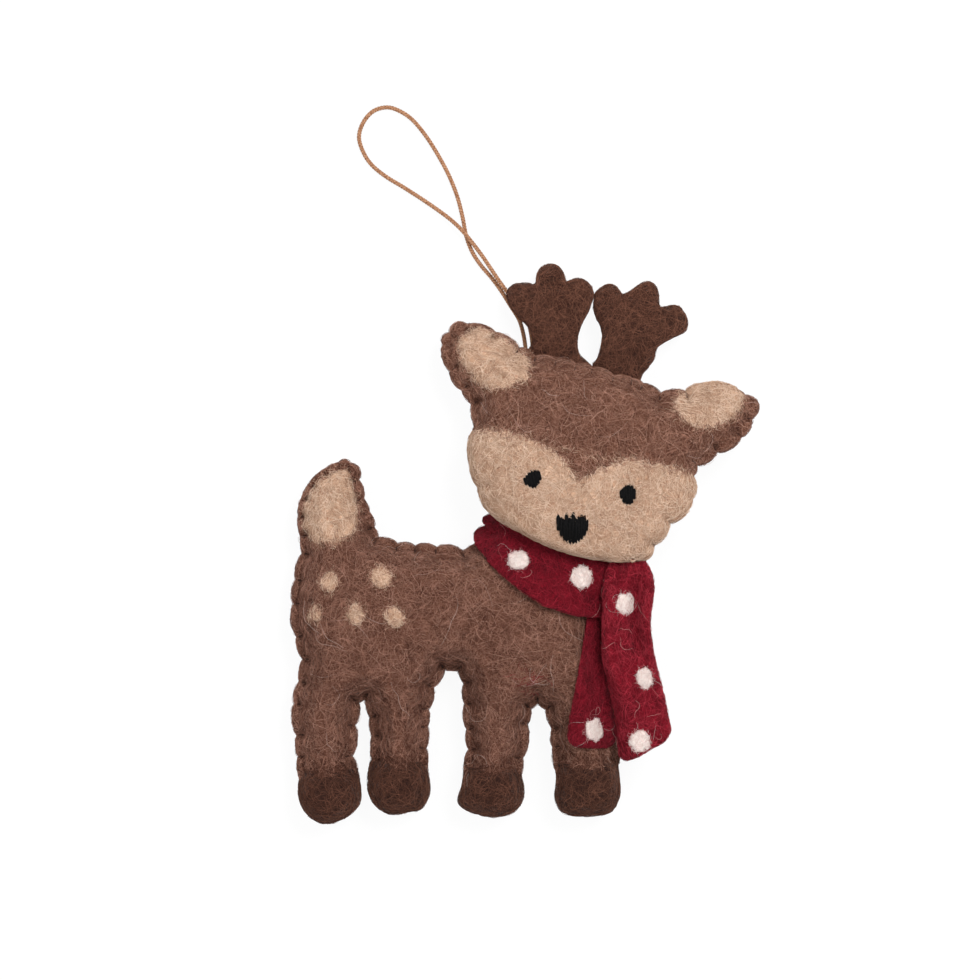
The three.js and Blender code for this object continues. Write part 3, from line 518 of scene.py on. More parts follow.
def spline(points, step, closed=False):
    """Points about step apart along a smooth curve through the given ones."""
    p = np.asarray(points, float)
    ends = (p[-1:], p[:2]) if closed else (2 * p[:1] - p[1:2], 2 * p[-1:] - p[-2:-1])
    p = np.vstack([ends[0], p, ends[1]])
    t = np.linspace(0, 1, SPLINE_SPAN, endpoint=False)[:, None]
    spans = [
        0.5 * (2 * b + (c - a) * t + (2 * a - 5 * b + 4 * c - d) * t**2 + (3 * b - a - 3 * c + d) * t**3)
        for a, b, c, d in zip(p, p[1:], p[2:], p[3:])
    ]
    line = np.vstack([*spans, p[-2:-1]])
    line = respaced(line, max(4, round(run_along(line)[-1] / step) + 1))
    return line[:-1] if closed else line


def ellipse(middle, half, reach, angles):
    x, y = middle[0] + half[0] * reach * np.cos(angles), middle[1] + half[1] * reach * np.sin(angles)
    return np.stack([x, y], axis=1)


def clockwise(outline):
    ahead = np.roll(outline, -1, axis=0)
    return (outline[:, 0] * ahead[:, 1] - ahead[:, 0] * outline[:, 1]).sum() < 0


def turned_left(outline):
    """The closed outline, counterclockwise."""
    return outline[::-1] if clockwise(outline) else outline


def inward_from(outline):
    """Unit vectors into a counterclockwise outline, at each of its points."""
    along = np.roll(outline, -1, axis=0) - np.roll(outline, 1, axis=0)
    return unit(np.stack([-along[:, 1], along[:, 0]], axis=1))


def to_nearest(points, spots):
    return np.min([np.linalg.norm(points - spot, axis=1) for spot in spots], axis=0)


def distance(points, line, closed=True):
    """How far each point is from a line in plan."""
    starts = line if closed else line[:-1]
    ends = np.roll(line, -1, axis=0) if closed else line[1:]
    best = np.full(len(points), np.inf)
    for a, b in zip(starts, ends):
        along = b - a
        share = np.clip((points - a) @ along / max(along @ along, TINY), 0, 1)
        away = points - a - share[:, None] * along
        best = np.minimum(best, (away * away).sum(1))
    return np.sqrt(best)


def inside(points, outline):
    found = np.zeros(len(points), bool)
    for (ax, ay), (bx, by) in zip(outline, np.roll(outline, -1, axis=0)):
        crosses = (ay > points[:, 1]) != (by > points[:, 1])
        at = ax + (points[:, 1] - ay) / (by - ay if by != ay else TINY) * (bx - ax)
        found ^= crosses & (points[:, 0] < at)
    return found


def depth_in(points, outline):
    """How deep each point lies inside a closed outline, below zero outside it."""
    return distance(points, outline) * np.where(inside(points, outline), 1, -1)


# Meshes over a plan
LATTICE_INSET, RING_INSET = 0.6, 0.75
MERGE_DISTANCE = 1e-5
FILM_SOLVED = 1e-10


def filled(outline, step, insets=()):
    """A triangle mesh of the area inside an outline: its points, the outline's first, and its faces."""
    low, high = outline.min(0), outline.max(0)
    columns = np.arange(low[0], high[0], step)
    lattice = np.vstack([
        np.stack([columns + (row % 2) * step / 2, np.full(len(columns), y)], axis=1)
        for row, y in enumerate(np.arange(low[1], high[1], step * math.sqrt(0.75)))
    ])
    lattice = lattice[depth_in(lattice, outline) > max([0, *insets]) + step * LATTICE_INSET]
    rings = [(inset, outline + inward_from(outline) * inset) for inset in insets]
    rings = [ring[depth_in(ring, outline) > inset * RING_INSET] for inset, ring in rings]
    points = np.vstack([outline, *rings, lattice])
    count = len(outline)
    edges = [(i, (i + 1) % count) for i in range(count)]
    made = geometry.delaunay_2d_cdt([Vector(p) for p in points], edges, [], 1, MERGE_DISTANCE)
    points, faces = np.array([tuple(v) for v in made[0]]), np.array(made[2])
    a, b, c = points[faces[:, 0]], points[faces[:, 1]], points[faces[:, 2]]
    turned = np.cross(b - a, c - a) < 0
    faces[turned] = faces[turned][:, ::-1]
    return points, faces


def film(points, faces, rim, load_at):
    """Height of a soap film over a mesh in plan, held at the rim's points, under the given load."""
    count = len(points)
    corners = points[faces]
    weights, starts, ends = [], [], []
    for k in range(3):
        a, b = corners[:, (k + 1) % 3] - corners[:, k], corners[:, (k + 2) % 3] - corners[:, k]
        double_area = np.abs(np.cross(a, b))
        weights.append(0.5 * (a * b).sum(1) / np.maximum(double_area, TINY))
        starts.append(faces[:, (k + 1) % 3])
        ends.append(faces[:, (k + 2) % 3])
    w, i, j = np.concatenate(weights), np.concatenate(starts), np.concatenate(ends)
    diagonal = np.bincount(i, w, count) + np.bincount(j, w, count)
    load = np.bincount(faces.ravel(), np.repeat(double_area / 6, 3), count) * load_at
    free = np.arange(count) >= rim

    def pull(x):
        return diagonal * x - np.bincount(i, w * x[j], count) - np.bincount(j, w * x[i], count)

    height, rest = np.zeros(count), load * free
    eased = rest / diagonal
    way, old, first = eased.copy(), rest @ eased, rest @ eased
    while old > FILM_SOLVED * first:
        pulled = pull(way) * free
        step = old / (way @ pulled)
        height += step * way
        rest -= step * pulled
        eased = rest / diagonal
        new = rest @ eased
        way, old = eased + new / old * way, new
    return height


def relaxed(values, faces, times):
    """Values over a mesh, evened out between neighbours."""
    starts, ends, count = faces.T.ravel(), np.roll(faces, -1, axis=1).T.ravel(), len(values)
    share = np.bincount(starts, minlength=count) + np.bincount(ends, minlength=count)
    for _ in range(times):
        total = np.bincount(starts, values[ends], count) + np.bincount(ends, values[starts], count)
        values = 0.5 * values + 0.5 * total / share
    return values


def read_at(places, points, faces, values):
    """Values given at the points of a mesh in plan, read at other places."""
    tree = BVHTree.FromPolygons([(*p, 0.0) for p in points.tolist()], faces.tolist())
    read = []
    for x, y in places:
        near, _, index, _ = tree.find_nearest((x, y, 0))
        corners = faces[index]
        plan = np.vstack([points[corners].T, np.ones(3)])
        read.append(np.linalg.lstsq(plan, np.array([near.x, near.y, 1]), rcond=None)[0] @ values[corners])
    return np.array(read)


def closed_over(faces, count, rim):
    """Faces of a closed mesh: those over a plan, the same ones below, and walls along the rim's points."""
    walls = [(i, count + i, count + (i + 1) % rim, (i + 1) % rim) for i in range(rim)]
    return [*faces.tolist(), *(faces[:, ::-1] + count).tolist(), *walls]


def two_sided(name, points, faces, rim, front, back, material):
    """A closed mesh between two heights over one plan."""
    verts = np.vstack([np.column_stack([points, front]), np.column_stack([points, back])])
    return Skin(name, verts, closed_over(faces, len(points), rim), material)


def highest(skins, points, default=0.0):
    """Height of the highest of some skins under each point in plan."""
    heights = []
    for x, y in points:
        found = [z for z in (skin.top(x, y) for skin in skins) if z is not None]
        heights.append(max(found, default=default))
    return np.array(heights)


# Threads and fibres
def even_tubes(routes, radii, sides):
    """Verts and faces of round tubes, capped at both ends, along routes of equally many points."""
    count, points = routes.shape[:2]
    side, up = crossways(routes)
    corner = np.arange(sides)
    turn = (2 * math.pi * corner / sides)[:, None]
    verts = routes[:, :, None] + radii * (side[:, :, None] * np.cos(turn) + up[:, :, None] * np.sin(turn))
    first = np.arange(count)[:, None, None] * points * sides
    ring = first + np.arange(points - 1)[None, :, None] * sides
    here, beside = ring + corner, ring + (corner + 1) % sides
    quads = np.stack([here, here + sides, beside + sides, beside], axis=-1).reshape(-1, 4)
    caps = [first[:, 0] + corner, first[:, 0] + (points - 1) * sides + corner[::-1]]
    return verts.reshape(-1, 3), [*quads.tolist(), *caps[0].tolist(), *caps[1].tolist()]


def tubes(routes, radius, sides):
    """Verts and faces of round tubes along routes of any length."""
    verts, faces = [], []
    for route in routes:
        more_verts, more_faces = even_tubes(route[None], radius, sides)
        faces += [tuple(len(verts) + i for i in face) for face in more_faces]
        verts += more_verts.tolist()
    return np.array(verts), faces


def sewing(name, node, routes, sides):
    """Brown sewing thread along some routes."""
    lines = [spline(route, THREAD_STEP) for route in routes]
    return place(Skin(name, *tubes(lines, SEWING_THREAD / 2, sides), BROWN_THREAD), "brown_thread", [node])


class Plan:
    """A sewn panel in plan: its scalloped outline, its stitches and the mesh inside."""

    def __init__(self, stretches, step):
        stitches = np.array([p for _, _, points in stretches for p in points])
        bulges = np.array([bulge for bulge, _, points in stretches for _ in points])
        pulls = np.array([pull for _, pull, points in stretches for _ in points])
        if clockwise(stitches):
            stitches, bulges, pulls = stitches[::-1], np.roll(bulges[::-1], -1), np.roll(pulls[::-1], -1)
        chords = np.roll(stitches, -1, axis=0) - stitches
        lengths = np.linalg.norm(chords, axis=1)
        outward = unit(np.stack([chords[:, 1], -chords[:, 0]], axis=1))
        outline = []
        for stitch, chord, length, out, bulge in zip(stitches, chords, lengths, outward, bulges):
            t = np.linspace(0, 1, max(4, round(length / EDGE_STEP)), endpoint=False)[:, None]
            outline.append(stitch + chord * t + out * bulge * length * (4 * t * (1 - t)) ** SCALLOP)
        self.outline = np.vstack(outline)
        self.inward = unit(-(outward + np.roll(outward, 1, axis=0)))
        self.stitches = stitches
        self.pulls = np.minimum(pulls, np.roll(pulls, 1))
        self.sewn = self.pulls > 0
        self.rim = len(self.outline)
        self.points, self.faces = filled(self.outline, step, RIM_RINGS)
        self.edge = distance(self.points, self.outline)
        self.seam_depth = depth_in(self.points, stitches)
        to_stitch = to_nearest(self.points, stitches[self.pulls > FIRM_PULL])
        self.sewn_share = 1 - smooth_step(*SEWN_REACH, to_stitch)
        self.soft = smooth_step(*SOFT_EDGE, self.edge)

    def rise(self, stuffing):
        """How far the filling lifts each point, before its crown is set."""
        height = film(self.points, self.faces, self.rim, stuffing)
        held = height * np.clip(1 - FLANGE / np.maximum(self.seam_depth, FLANGE), 0, 1)
        sewn = np.sqrt(2 * held + SOFT_START**2) - SOFT_START
        plain = np.sqrt(2 * height + PLAIN_START**2) - PLAIN_START
        share = np.maximum(self.sewn_share, smooth_step(*PLAIN_REACH, self.edge))
        return sewn * share + plain * (1 - share)

    def pits(self):
        """How deep the stitches pull each point in."""
        depth = np.zeros(len(self.points))
        sewn = zip(self.stitches[self.sewn], self.inward[self.sewn], self.pulls[self.sewn])
        for stitch, inward, share in sewn:
            away = self.points - stitch
            along, across = away @ inward, away @ np.array([-inward[1], inward[0]])
            pit = PIT_DEPTH * np.exp(-((along - PIT_INSET) ** 2 + across**2) / (2 * PIT_RADIUS**2))
            pull = PULL_DEPTH * bell(across, 0, PULL_WIDTH) * smooth_step(*PULL_START, along)
            pull *= 1 - smooth_step(*PULL_FADE, along)
            depth = np.maximum(depth, share * np.maximum(pit, pull))
        return depth

    def height(self, rise, crown):
        """Height of the felt above the seam: its rounded edge, its dome and its stitches."""
        rounding = rounded(self.edge / RIM_ROUND)
        flange = RIM_HALF + (FELT - RIM_HALF) * rounding
        dome = crown * np.tanh(rise / DOME_SPREAD)
        least = RIM_HALF * (RIM_LEAST + (1 - RIM_LEAST) * rounding)
        return np.maximum(flange + dome - self.pits() * rounding, least)

    def skin(self, name, seam, front, back, material):
        """The closed mesh of both panels, with a groove between their edges."""
        count, rim = len(self.points), self.rim
        ring = self.outline + inward_from(self.outline) * RIM_GROOVE
        verts = np.vstack([
            np.column_stack([self.points, seam + front]), np.column_stack([self.points, seam - back]),
            np.column_stack([ring, seam[:rim]]),
        ])
        faces = [*self.faces, *(self.faces[:, ::-1] + count)]
        groove = 2 * count
        for i in range(rim):
            j = (i + 1) % rim
            faces += [(i, groove + i, groove + j, j), (groove + i, count + i, count + j, groove + j)]
        return Skin(name, verts, faces, material)


# Cloth simulation: a coarser mesh, enlarged, that the filling's pressure swells for some frames
SIM_STEP, SIM_EDGE_STEP = 1.8, 3
SIM_SCALE = 0.02
SIM_PRESSURE, SIM_FRAMES = 4.0, 20
SIM_HELD_RIM, SIM_HELD_PIT = 0.2, 0.6 * SIM_STEP
SIM_CAP, SIM_EVENED = 1.2, 3


def puffed(plan, seam, front, back):
    """How far Blender's cloth swells both panels under the filling's pressure, held at rim and stitches."""
    rim = plan.outline[::SIM_EDGE_STEP]
    points, faces = filled(rim, SIM_STEP)
    count = len(points)
    heights = read_at(points, plan.points, plan.faces, np.column_stack([seam + front, seam - back]))
    verts = np.vstack([np.column_stack([points, side]) for side in heights.T])
    mesh = bpy.data.meshes.new("pressed_felt")
    mesh.from_pydata((verts * SIM_SCALE).tolist(), [], closed_over(faces, count, len(rim)))
    felt = linked(bpy.data.objects.new("pressed_felt", mesh))
    to_pit = to_nearest(points, plan.stitches[plan.sewn] + plan.inward[plan.sewn] * PIT_INSET)
    held = np.flatnonzero((distance(points, rim) < SIM_HELD_RIM) | (to_pit < SIM_HELD_PIT))
    pins = felt.vertex_groups.new(name="sewn")
    pins.add([*held.tolist(), *(held + count).tolist()], 1.0, "ADD")
    cloth = felt.modifiers.new("cloth", "CLOTH")
    cloth.settings.vertex_group_mass = "sewn"
    cloth.settings.use_pressure = True
    cloth.settings.uniform_pressure_force = SIM_PRESSURE
    cloth.settings.effector_weights.gravity = 0
    cloth.point_cache.frame_end = SIM_FRAMES
    for step in range(1, SIM_FRAMES + 1):
        bpy.context.scene.frame_set(step)
    swollen = felt.evaluated_get(bpy.context.evaluated_depsgraph_get()).data
    moved = np.array([v.co.z for v in swollen.vertices]) / SIM_SCALE - verts[:, 2]
    bpy.data.objects.remove(felt)
    bpy.context.scene.frame_set(1)
    moved = np.clip(moved, -SIM_CAP, SIM_CAP)
    swell = read_at(plan.points, points, faces, np.column_stack([moved[:count], -moved[count:]]))
    return tuple(relaxed(side, plan.faces, SIM_EVENED) for side in swell.T)


# Colours as the photograph shows them, in sRGB
def srgb(red, green, blue):
    shares = [value / 255 for value in (red, green, blue)]
    return tuple(s / 12.92 if s <= 0.04045 else ((s + 0.055) / 1.055) ** 2.4 for s in shares) + (1.0,)


# Sizes of the wool's bends, in millimetres, and the shares of noise that count as fibres
BEND_LENGTH, BEND_REACH = 4.0, 2.2
FIBRE_DEPTH, FIBRE_SHIFT = 3, 7.3
LIGHT_LINES, DARK_LINES = (0.58, 0.72), (0.54, 0.72)
LIGHT_TURNS, DARK_TURNS = (0.2, 0.75, 1.3, 1.8, 2.35, 2.9), (0.45, 1.05, 1.6, 2.1, 2.65)


class Shader:
    """A node material put together step by step, on coordinates in metres that ride with the piece."""

    def __init__(self, name):
        self.material = bpy.data.materials.new(name)
        self.material.use_nodes = True
        self.tree = self.material.node_tree
        self.surface = self.tree.nodes["Principled BSDF"]
        self.place = self.add("ShaderNodeTexCoord").outputs["Object"]

    def add(self, kind, inputs=(), **settings):
        node = self.tree.nodes.new(kind)
        for key, value in settings.items():
            setattr(node, key, value)
        for key, value in dict(inputs).items():
            self.join(value, node.inputs[key])
        return node

    def join(self, value, socket):
        if isinstance(value, bpy.types.NodeSocket):
            self.tree.links.new(value, socket)
        else:
            socket.default_value = value

    def set(self, **values):
        for key, value in values.items():
            self.join(value, self.surface.inputs[key.replace("_", " ")])

    def vector(self, operation, *inputs):
        return self.add("ShaderNodeVectorMath", dict(enumerate(inputs)), operation=operation).outputs[0]

    def math(self, operation, a, b):
        return self.add("ShaderNodeMath", {0: a, 1: b}, operation=operation).outputs[0]

    def noise(self, place, scale, detail, output="Fac"):
        inputs = {"Vector": place, "Scale": scale, "Detail": detail}
        return self.add("ShaderNodeTexNoise", inputs).outputs[output]

    def grain(self, size, shift):
        moved = self.vector("ADD", self.place, (shift, shift * 0.7, shift * 1.3))
        return self.noise(moved, 1 / (size * MM), 2.0)

    def range(self, value, low, high):
        inputs = {"Value": value, "From Min": low, "From Max": high}
        return self.add("ShaderNodeMapRange", inputs, interpolation_type="SMOOTHSTEP").outputs["Result"]

    def mix(self, share, a, b):
        return self.add("ShaderNodeMix", {0: share, 6: a, 7: b}, data_type="RGBA").outputs[2]

    def both(self, a, b, share):
        """Two values in one, the first by its share."""
        return self.math("ADD", self.math("MULTIPLY", a, share), self.math("MULTIPLY", b, 1 - share))

    def fibres(self, length, width, turns, shift, limits):
        """Thin lines in several directions, each a stretched noise over slightly bent coordinates."""
        bends = self.noise(self.place, 1 / (BEND_LENGTH * MM), 1.0, "Color")
        bent = self.vector("MULTIPLY_ADD", bends, (BEND_REACH * MM,) * 3, self.place)
        scale = (1 / (length * MM), 1 / (width * MM), 1 / (FIBRE_DEPTH * width * MM))
        lines = None
        for k, turn in enumerate(turns):
            inputs = {"Vector": bent, "Angle": turn}
            turned = self.add("ShaderNodeVectorRotate", inputs, rotation_type="Z_AXIS").outputs[0]
            spread_out = self.vector("MULTIPLY_ADD", turned, scale, (shift + FIBRE_SHIFT * k,) * 3)
            line = self.range(self.noise(spread_out, 1.0, 1.0), *limits)
            lines = line if lines is None else self.math("MAXIMUM", lines, line)
        return lines

    def bumpy(self, height, depth):
        inputs = {"Height": height, "Strength": 1.0, "Distance": depth * MM}
        self.set(Normal=self.add("ShaderNodeBump", inputs).outputs["Normal"])


GRAIN_SIZE, MOTTLE_SIZE, STREAK_SIZE = 0.28, 4.5, 0.35
GROUND_RANGE, STREAK_RANGE = (0.34, 0.62), (0.3, 0.7)
GAP_SHARE, GAP_LENGTH, GAP_WIDTH = 0.6, 0.7, 1.2
THREAD_BUMP = 0.06
RIM_PALE = 0.35


def wool(name, dark, colour, light, fibre_share=0.55, length=4.0, width=0.3, sheen=0.12, bump=0.22, seed=0.0):
    """Matted wool: dark and light fibres that cross over a mottled ground."""
    s = Shader(name)
    lines = s.fibres(length, width, LIGHT_TURNS, seed + 0.1, LIGHT_LINES)
    gaps = s.fibres(length * GAP_LENGTH, width * GAP_WIDTH, DARK_TURNS, seed + 40.0, DARK_LINES)
    grain, mottle = s.grain(GRAIN_SIZE, seed + 5.0), s.grain(MOTTLE_SIZE, seed + 7.0)
    ground = s.mix(s.range(s.both(grain, mottle, 0.5), *GROUND_RANGE), srgb(*dark), srgb(*colour))
    ground = s.mix(s.math("MULTIPLY", gaps, GAP_SHARE), ground, srgb(*dark))
    s.bumpy(s.both(lines, grain, 0.6), bump)
    rim = [value + RIM_PALE * (255 - value) for value in light]
    s.set(Base_Color=s.mix(s.math("MULTIPLY", lines, fibre_share), ground, srgb(*light)), Roughness=0.95,
          Sheen_Weight=sheen, Sheen_Roughness=0.3, Sheen_Tint=srgb(*rim), Specular_IOR_Level=0.15)
    return s.material


def thread(name, dark, colour, gloss):
    """Spun thread: fine streaks and a soft gloss."""
    s = Shader(name)
    streak = s.range(s.grain(STREAK_SIZE, 1.0), *STREAK_RANGE)
    s.bumpy(streak, THREAD_BUMP)
    s.set(Base_Color=s.mix(streak, srgb(*dark), srgb(*colour)), Roughness=0.6, Sheen_Weight=0.03,
          Sheen_Roughness=0.4, Specular_IOR_Level=gloss)
    return s.material


def fibre(name, dark, light):
    """Single wool fibres, whose tint changes from one to the next."""
    s = Shader(name)
    tint = s.add("ShaderNodeNewGeometry").outputs["Random Per Island"]
    s.set(Base_Color=s.mix(tint, srgb(*dark), srgb(*light)), Roughness=0.9, Sheen_Weight=0.1,
          Sheen_Roughness=0.5, Sheen_Tint=srgb(*light), Specular_IOR_Level=0.1)
    return s.material


BODY_FELT = wool("body_felt_look", (62, 35, 26), (98, 63, 49), (150, 108, 91), 0.65, sheen=0.5, seed=0.0)
HEAD_FELT = wool("head_felt_look", (68, 38, 29), (101, 65, 50), (154, 111, 93), 0.65, sheen=0.5, seed=2.0)
ANTLER_LOOK = wool("antler_felt_look", (38, 20, 14), (51, 28, 21), (92, 60, 47), 0.5, sheen=0.85, seed=4.0)
HOOF_LOOK = wool("hoof_wool_look", (33, 16, 11), (46, 24, 17), (86, 54, 42), 0.5, sheen=0.62, seed=6.0)
CREAM_LOOK = wool("cream_wool_look", (160, 123, 98), (188, 153, 127), (220, 191, 167),
                  width=0.24, sheen=0.2, bump=0.08, seed=8.0)
SCARF_LOOK = wool("scarf_felt_look", (56, 0, 8), (98, 3, 19), (140, 24, 41),
                  0.45, 3.2, 0.28, sheen=0.24, bump=0.18, seed=10.0)
# The front end's felt is a brighter copy of the scarf's felt: painted light, for the light that its raised
# end catches.
FRONT_PAINTED_LIGHT_LOOK = wool("scarf_front_painted_light_look", (62, 0, 9), (107, 4, 21), (153, 28, 46),
                  0.45, 3.2, 0.28, sheen=0.27, bump=0.18, seed=11.0)
DOT_LOOK = wool("dot_wool_look", (206, 180, 174), (220, 206, 199), (236, 228, 222),
                0.6, 2.0, 0.24, bump=0.1, seed=12.0)
BLACK_THREAD = thread("black_thread_look", (3, 3, 4), (13, 12, 12), 0.06)
BROWN_THREAD = thread("brown_thread_look", (50, 31, 25), (76, 49, 40), 0.1)
CORD_LOOK = thread("cord_look", (128, 85, 58), (176, 132, 101), 0.15)
FIBRE_TINTS = {
    "body_fibre_dark": ((66, 38, 29), (116, 78, 64)), "body_fibre": ((96, 61, 48), (160, 116, 99)),
    "body_fibre_light": ((132, 91, 75), (186, 142, 124)), "head_fibre_dark": ((66, 38, 29), (116, 78, 63)),
    "head_fibre": ((98, 63, 49), (162, 118, 100)), "head_fibre_light": ((136, 95, 78), (192, 149, 130)),
    "antler_fibre": ((56, 31, 23), (128, 86, 69)), "hoof_edge_fibre": ((52, 29, 22), (92, 59, 47)),
    "hoof_fibre": ((54, 30, 23), (122, 82, 66)), "cream_fibre": ((184, 150, 125), (230, 204, 182)),
    "cream_fibre_dark": ((142, 104, 81), (186, 149, 123)), "cream_fringe": ((158, 121, 100), (200, 168, 145)),
    # The brighter red fibres are painted light where they lie on the scarf's front end; on the dots they are
    # just a brighter red.
    "red_fibre": ((78, 1, 14), (154, 40, 54)), "red_fibre_bright": ((90, 2, 16), (184, 58, 72)),
    "scarf_hair": ((170, 90, 92), (220, 170, 165)), "white_fibre": ((208, 188, 182), (240, 233, 228)),
    "dot_edge_fibre": ((206, 150, 150), (238, 218, 214)), "pale_hair": ((170, 136, 124), (208, 182, 170)),
}
FIBRE_LOOKS = {key: fibre(f"{key}_look", *tints) for key, tints in FIBRE_TINTS.items()}

# Camera
camera_data = bpy.data.cameras.new("photo_camera")
camera_data.lens, camera_data.sensor_width = LENS_MM, SENSOR_MM
camera_height = VIEW_WIDTH * LENS_MM / SENSOR_MM
camera = linked(bpy.data.objects.new("photo_camera", camera_data))
camera.location = (CAMERA_AIM[0] * MM, CAMERA_AIM[1] * MM, (CAMERA_AIM[2] + camera_height) * MM)
bpy.context.scene.camera = camera

# Hanging cord: strands laid round its route, and the stitch that holds its ends
cord_line = spline(CORD_ROUTE, CORD_STEP)
cord_side, cord_up = crossways(cord_line)
cord_run = run_along(cord_line)
strands = []
for strand in range(CORD_STRANDS):
    turn = (2 * math.pi * (cord_run / CORD_LAY + strand / CORD_STRANDS))[:, None]
    strands.append(cord_line + STRAND_PLACE * (cord_side * np.cos(turn) + cord_up * np.sin(turn)))
cord = Skin("cord_loop", *tubes(strands, STRAND_RADIUS, THREAD_SIDES), CORD_LOOK)
place(cord, "cord", ["hanging_cord"])
sewing("cord_holder", "cord_stitch", [CORD_STITCH_ROUTE], THREAD_SIDES)

# Body: stuffed from the hooves to the tail, flat at the back and pressed in under the scarf's ends
body_plan = Plan(BODY_EDGE, BODY_STEP)
body_x, body_y = body_plan.points[:, 0], body_plan.points[:, 1]
neck_share = smooth_step(*NECK_FROM_X, body_x)
neck_stuffing = 1 - neck_share * (1 - np.interp(body_y, *NECK_STUFFING))
body_rise = body_plan.rise(np.interp(body_y, *BODY_STUFFING) * neck_stuffing)
body_seam = np.full(len(body_rise), BODY_SEAM_Z)
neck_lift = NECK_BACK_LIFT * (neck_share * smooth_step(*NECK_BACK_Y, body_y))
early_room, room = (body_seam - gap - neck_lift for gap in BODY_BACK_GAP)
body_front = body_plan.height(body_rise, BODY_CROWN)
body_back = smooth_min(body_plan.height(body_rise, BODY_CROWN_BACK), early_room, BODY_BACK_SOFT[0])
body_swell, body_swell_back = puffed(body_plan, body_seam, body_front, body_back)
front_edge = spline(FRONT_END_LEFT, STRIP_STEP)[::-1]


def front_edge_x(y):
    """Where the left edge of the scarf's front end is."""
    return np.interp(y, front_edge[:, 1], front_edge[:, 0])


press_place = (body_x - (front_edge_x(body_y) - PRESS_LEFT)) / PRESS_HALF
pressed = PRESS_DEPTH * np.exp(-(press_place**4)) * smooth_step(*PRESS_EDGE, body_plan.edge)
pressed *= smooth_step(*PRESS_FOOT, body_y) * (1 - smooth_step(*PRESS_TOP, body_y))
body_front += body_swell + BODY_LUMPS * lumps(body_plan.points, FELT_WAVES, 1) * body_plan.soft - pressed
body_back = smooth_min(body_back + body_swell_back + BACK_FULL * body_plan.soft, room, BODY_BACK_SOFT[1])
fillings = [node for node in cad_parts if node.endswith("_filling") and node != "head_filling"]
body_nodes = sorted(["body_front_panel", "body_back_panel", *fillings])
body = body_plan.skin("stuffed_body", body_seam, body_front, body_back, BODY_FELT)
place(body, "body_felt", body_nodes)

# Scarf band: a loop stretched round the neck, found as the hull of the neck's slanted sections
BAND_U = np.array([math.cos(BAND_TURN), math.sin(BAND_TURN), 0])
BAND_V = np.array([-math.sin(BAND_TURN), math.cos(BAND_TURN), 0])
BAND_RISE = np.array([0, 0, 1]) - BAND_SLANT * BAND_V


def band_curve(u):
    return BAND_CURVE * (u - BAND_LOWEST_U) ** 2


def band_place(u, v, z):
    """A place on the band, from how far along, across and up it is."""
    trim = BAND_TRIM * smooth_step(*BAND_TRIM_U, u) * max(0.0, -2 * v / BAND_WIDTH)
    across = v + band_curve(u) + trim
    centre = np.array([*BAND_CENTRE, BAND_FRONT_Z])
    return centre + u * BAND_U + across * BAND_V + (z - BAND_FRONT_Z) * BAND_RISE


def hull_reach(section, directions):
    """How far a hull of points reaches from the band's middle in each direction."""
    supports = np.array([(section @ d).max() for d in directions])
    reach = []
    for d in directions:
        facing = directions @ d
        ahead = facing > LEAST_FACING
        reach.append((supports[ahead] / facing[ahead]).min())
    return np.array(reach)


band_angles = np.linspace(0, 2 * math.pi, BAND_COLUMNS, endpoint=False)
band_ways = unit(ellipse((0, 0), BAND_ROUND, 1, band_angles))
band_across = np.linspace(-BAND_WIDTH / 2, BAND_WIDTH / 2, BAND_ROWS)
ray = Vector(BAND_RISE).normalized()
band_reach = []
for v in band_across:
    section = []
    for u in np.arange(*BAND_REACH, SECTION_STEP):
        for z, way in ((RAY_START, -ray), (-RAY_START, ray)):
            hit = body.tree.ray_cast(Vector(band_place(u, v, z)), way)[0]
            if hit is not None:
                section.append((u, hit.z - BAND_MIDDLE_Z))
    band_reach.append(hull_reach(np.array(section), band_ways))
band_reach = np.array(band_reach)
for _ in range(BAND_EVENED):
    band_reach = evened(evened(band_reach, 0), 1, wrapped=True)


def slab(name, top, bottom, material, wrapped=False):
    """A closed mesh between two grids of points; wrapped joins its last column to its first."""
    rows, columns = top.shape[:2]
    size = rows * columns
    at = np.arange(size).reshape(rows, columns)
    if wrapped:
        at = np.hstack([at, at[:, :1]])
    tops = np.stack([at[:-1, :-1], at[1:, :-1], at[1:, 1:], at[:-1, 1:]], axis=-1)
    faces = np.stack([tops, size + tops[..., ::-1]], axis=2).reshape(-1, 4).tolist()
    first, last, left, right = at[0], at[-1], at[:, 0], at[:, -1]
    rims = [rim for k in range(len(first) - 1) for rim in ((first[k], first[k + 1]), (last[k + 1], last[k]))]
    if not wrapped:
        rims += [rim for k in range(rows - 1) for rim in ((left[k + 1], left[k]), (right[k], right[k + 1]))]
    faces += [(a, b, size + b, size + a) for a, b in rims]
    return Skin(name, np.vstack([top.reshape(-1, 3), bottom.reshape(-1, 3)]), faces, material)


def half_felt(edge, thin):
    """Half the scarf's thickness, from a thin share of it at the edge."""
    return SCARF_FELT / 2 * (thin + (1 - thin) * rounded(edge / SCARF_EDGE_ROUND))


